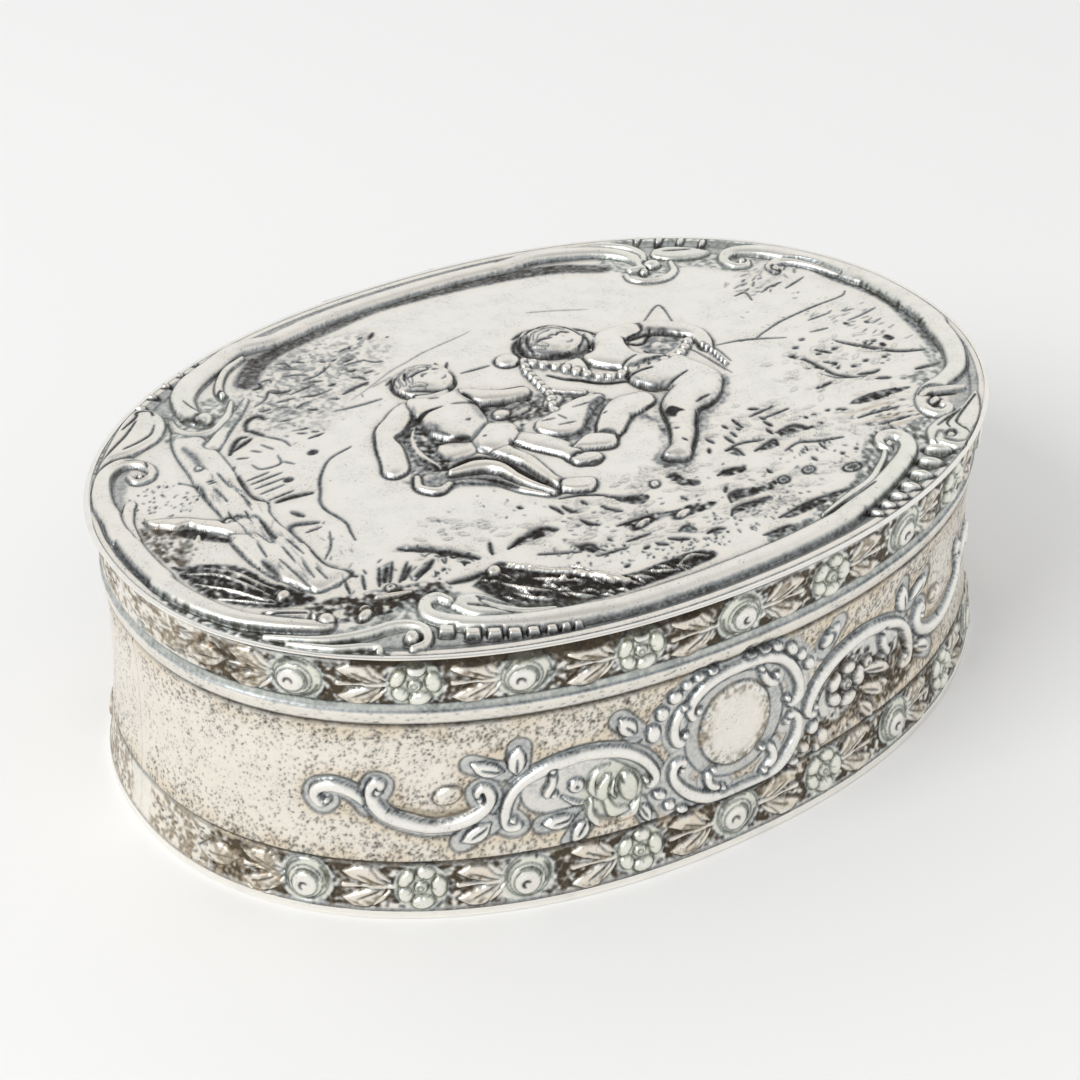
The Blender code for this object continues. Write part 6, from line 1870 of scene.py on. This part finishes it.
def draw_ends(board):
    """Brown tarnish and coarse strokes on both bands near the seams."""
    for side in (-1, 1):
        board.stain_and_shade([(side * 64, 24.4), (side * 47, 24.4), (side * 45.4, 26), (side * 47.4, 28.4),
                     (side * 64, 28.4)], 0.45, 0.85, 0.8, soft=False, grain=0.9, seed=45)
        board.stain_and_shade([(side * 62, 0.8), (side * 46, 0.8), (side * 44.6, 3), (side * 46.4, 6),
                     (side * 62, 6.4)], 0.4, 0.8, 0.9, soft=False, grain=1.0, seed=46)
        board.dashes(block(side * 62, 24.3, side * 47, 28.4), 60, 1.2, 0, 12, 47, 0.13, 0.8)
        board.dashes(block(side * 60, 1, side * 45, 5.8), 120, 0.4, 0, 30, 48, 0.13, 0.8)


def draw_gap(board):
    """The gap under the lid, where the wall's upper edge is pressed in a little and painted black as the
    shade in the gap.
    """
    s, z = np.meshgrid(board.x, board.y)
    pressed = np.interp(s, [-38, -32, -9, -2.5], [0, 1, 1, 0])
    board.height -= 0.3 * pressed * np.clip((z - 27.6) / 0.2, 0, 1)
    # Painted shade: the top of the wall is painted black where the gap under the lid shows dark.
    board.stain_and_shade([(-38, 28.3), (-30, 27.85), (-20, 27.7), (-10, 27.8), (-2.5, 28.3), (-2.5, 29.4),
                 (-38, 29.4)], 1.0, 0, 0.2, soft=False)


def draw_wall():
    """The die's whole drawing of a wall."""
    board = Board(*WALL_BOARD)
    draw_films(board)
    draw_ornament(board)
    draw_pits(board, count=15000, seed=41)
    draw_band(board, MOUTH_BAND, seed=42)
    draw_band(board, FOOT_BAND, seed=43)
    draw_grooves(board)
    draw_ends(board)
    draw_gap(board)
    board.finish()
    return board


def make_walls():
    """Two stamped half strips, each in foot band, waist and mouth band."""
    board = draw_wall()
    step = 8
    columns = 1000
    rows = ((40, 92, 56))
    edges = (FOOT, WAIST, MOUTH, TOP)
    heights = np.concatenate([np.linspace(low, high, count, endpoint=False)
                              for low, high, count in zip(edges, edges[1:], rows)] + [[edges[-1]]])
    angle, arc = wall_places(columns + 1)
    s, z = np.meshgrid(arc, heights)
    turned = np.tile(angle, (len(heights), 1))
    offset = wall_profile(z)
    relief = np.maximum(board.read(board.height, s, z), -0.3)
    x, y = oval(turned, offset + relief)
    face = np.stack([x, y, z], 2)
    x, y = oval(turned, wall_rear(z) - WALL_SKIN)
    rear = np.stack([x, y, z], 2)
    normals = face_normals(face)
    # The darkness read here holds real patina and painted shade alike.
    marks = {"patina": board.read(board.patina_and_shade, s, z), "warmth": board.read(board.warm, s, z)}
    first = np.cumsum((0, *rows))
    for node, turn in (("wall_front", 1), ("wall_back", -1)):
        flip = np.array([turn, turn, 1])
        for band, low, high in zip(("foot_band", "waist", "mouth_band"), first, first[1:]):
            part = slice(low, high + 1)
            piece = relief_sheet(face[part] * flip, (rear[part] * flip)[::step, ::step], step,
                                 normals[part] * flip,
                                 {name: value[part] for name, value in marks.items()})
            settle(piece, f"{node}_{band}", "box", "embossed_silver", node)


def make_lining():
    """The walls' gilt inner face, the bottom sheet with its foot, and the collar."""
    steps = 320
    heights = np.linspace(0.62, 28.78, 40)
    outer = [(wall_rear(z) - LINING_BACK, z, 1) for z in heights]
    inner = [(wall_rear(z) - LINING_FACE, z, 1) for z in heights]
    piece = lathed(outer + inner[::-1], steps, round_the_oval)
    settle(piece, "gilt_lining", "box", "gilt_inside", "wall_front", "wall_back")
    foot = [(0, 0, 0), (0.55, 0, 1), (0.66, 0.05, 1), (0.7, 0.16, 1), (0.7, 0.8, 1),
            (0.66, 0.9, 1), (0.55, 0.94, 1), (0.2, 0.94, 1), (0.15, 0.5, 1), (0, 0.5, 0)]
    piece = lathed(foot, steps, round_the_oval, closed=False)
    settle(piece, "bottom_sheet", "box", "polished_silver", "base_plate")
    low, high = BEZEL[0][2] / MM, BEZEL[1][2] / MM
    outside = BEZEL[1][0] / MM - halves(0)[0]
    collar = [(outside - 0.06, high, 1), (outside, high - 0.1, 1), (outside, low, 1),
              (outside - 0.4, low, 1), (outside - 0.4, high - 0.1, 1), (outside - 0.34, high, 1)]
    piece = lathed(collar, steps, round_the_oval)
    settle(piece, "mouth_collar", "box", "gilt_inside", "mouth_bezel")


def make_hinge():
    """Smooth tubes and pin of the hinge; the bearers stay and get their finish."""
    for name in KNUCKLES:
        low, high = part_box(name)
        first, last = low[0] / MM, high[0] / MM
        section = [(0.5, first), (0.8, first), (0.87, first + 0.03), (0.9, first + 0.1),
                   (0.9, last - 0.1), (0.87, last - 0.03), (0.8, last), (0.5, last)]
        piece = lathed(section, 48, round_the_pin)
        settle(piece, name.replace("knuckle", "tube"), name[:3], "hinge_silver", name)
    reach = PIN[1][0] / MM
    section = [(0, -reach), (0.22, -reach), (0.36, -reach + 0.06), (0.4, -reach + 0.2),
               (0.4, reach - 0.2), (0.36, reach - 0.06), (0.22, reach), (0, reach)]
    piece = lathed(section, 32, round_the_pin, closed=False)
    settle(piece, "hinge_wire", "box", "hinge_silver", "hinge_pin")
    for name in ("hinge_bearer_box", "hinge_bearer_lid"):
        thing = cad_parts[name]
        thing.data.materials.clear()
        thing.data.materials.append(material("hinge_silver"))


# Stage.

def make_camera():
    """The camera at the photograph's place, a 77 mm lens with no shift."""
    distance, lift, side = 0.24655, math.radians(34.323), math.radians(32.848)
    roll, across, upward = math.radians(-0.319), -0.00132, 0.012311
    right = Vector((1, 0, 0))
    forward = Vector((0, math.cos(lift), -math.sin(lift)))
    up = Vector((0, math.sin(lift), math.cos(lift)))
    place = -distance * forward + across * right + upward * up
    level = math.cos(roll) * right + math.sin(roll) * up
    top = -math.sin(roll) * right + math.cos(roll) * up
    pose = Matrix((level, top, -forward)).transposed().to_4x4()
    pose.translation = place
    data = bpy.data.cameras.new("camera")
    data.lens, data.sensor_width = 76.95, 36
    data.clip_start, data.clip_end = 0.01, 20
    camera = bpy.data.objects.new("camera", data)
    bpy.context.scene.collection.objects.link(camera)
    camera.matrix_world = Matrix.Rotation(-side, 4, "Z") @ pose
    bpy.context.scene.camera = camera


def make_lamp(name, place, target, size, power):
    """A square soft lamp that looks at a target."""
    data = bpy.data.lights.new(name, "AREA")
    data.shape, data.size, data.energy = "SQUARE", size, power
    lamp = bpy.data.objects.new(name, data)
    bpy.context.scene.collection.objects.link(lamp)
    lamp.location = place
    lamp.rotation_euler = (Vector(target) - Vector(place)).to_track_quat("-Z", "Y").to_euler()


def make_world():
    """Pale light, even up to well over the horizon and dimmer overhead."""
    world = bpy.data.worlds.new("studio")
    bpy.context.scene.world = world
    world.use_nodes = True
    tree = world.node_tree
    background = tree.nodes["Background"]
    place = tree.nodes.new("ShaderNodeTexCoord")
    parts = tree.nodes.new("ShaderNodeSeparateXYZ")
    ramp = tree.nodes.new("ShaderNodeValToRGB")
    tree.links.new(place.outputs["Generated"], parts.inputs[0])
    tree.links.new(parts.outputs["Z"], ramp.inputs["Fac"])
    ramp.color_ramp.elements[0].color = (0.87, 0.87, 0.87, 1)
    ramp.color_ramp.elements[1].color = (0.48, 0.48, 0.49, 1)
    for position, level in ((0.3, 0.86), (0.55, 0.86), (0.76, 0.87), (0.88, 0.66)):
        ramp.color_ramp.elements.new(position).color = (level, level, level, 1)
    tree.links.new(ramp.outputs["Color"], background.inputs["Color"])
    background.inputs["Strength"].default_value = 1.0


def make_floor():
    """A wide pale floor."""
    deselect()
    bpy.ops.mesh.primitive_plane_add(size=6)
    floor = bpy.context.object
    floor.name = "studio_floor"
    finish = Finish("studio_floor", Roughness=0.9)
    cloud = finish.noise(3, 2)
    shade = finish.mix(cloud * 0.1, tone("floor"), tone("floor", 0.97))
    floor.data.materials.append(finish.give(Base_Color=shade))


# Operators and panel.

class BuildLid(bpy.types.Operator):
    """Build the embossed lid with its gilt inside and its wire"""
    bl_idname = "silver_box.lid"
    bl_label = "Lid"

    def execute(self, context):
        make_lid()
        return {"FINISHED"}


class BuildWalls(bpy.types.Operator):
    """Build the two stamped walls"""
    bl_idname = "silver_box.walls"
    bl_label = "Walls"

    def execute(self, context):
        make_walls()
        return {"FINISHED"}


class BuildInside(bpy.types.Operator):
    """Build the gilt lining, the bottom sheet and the collar"""
    bl_idname = "silver_box.inside"
    bl_label = "Inside"

    def execute(self, context):
        make_lining()
        return {"FINISHED"}


class BuildHinge(bpy.types.Operator):
    """Build the hinge's tubes and pin"""
    bl_idname = "silver_box.hinge"
    bl_label = "Hinge"

    def execute(self, context):
        make_hinge()
        return {"FINISHED"}


class BuildStage(bpy.types.Operator):
    """Set the camera, the lamps, the world and the floor"""
    bl_idname = "silver_box.stage"
    bl_label = "Stage"

    def execute(self, context):
        make_camera()
        make_world()
        make_floor()
        make_lamp("key", (-0.75, -0.1, 0.65), (0, 0, 0.01), 0.5, 4.5)
        context.scene.view_settings.view_transform = "Standard"
        return {"FINISHED"}


STEPS = (BuildStage, BuildWalls, BuildInside, BuildHinge, BuildLid)


class SilverBoxPanel(bpy.types.Panel):
    """Sizes, colours and the steps of the build"""
    bl_idname = "VIEW3D_PT_silver_box"
    bl_label = "Silver Box"
    bl_space_type = "VIEW_3D"
    bl_region_type = "UI"
    bl_category = "Silver Box"

    def draw(self, context):
        for group in (context.scene.silver_box_sizes, context.scene.silver_box_colours):
            for name in group.__annotations__:
                self.layout.prop(group, name)
        for step in STEPS:
            self.layout.operator(step.bl_idname)


CLASSES = (SilverBoxSizes, SilverBoxColours, *STEPS, SilverBoxPanel)


def register():
    """Register the classes and hang the settings on the scene."""
    for item in CLASSES:
        bpy.utils.register_class(item)
    bpy.types.Scene.silver_box_sizes = bpy.props.PointerProperty(type=SilverBoxSizes)
    bpy.types.Scene.silver_box_colours = bpy.props.PointerProperty(type=SilverBoxColours)


def unregister():
    """Take back what register did."""
    del bpy.types.Scene.silver_box_sizes
    del bpy.types.Scene.silver_box_colours
    for item in reversed(CLASSES):
        bpy.utils.unregister_class(item)


def main():
    """Build everything in order."""
    register()
    bpy.ops.silver_box.stage()
    bpy.ops.silver_box.walls()
    bpy.ops.silver_box.inside()
    bpy.ops.silver_box.hinge()
    bpy.ops.silver_box.lid()


if __name__ == "__main__":
    main()
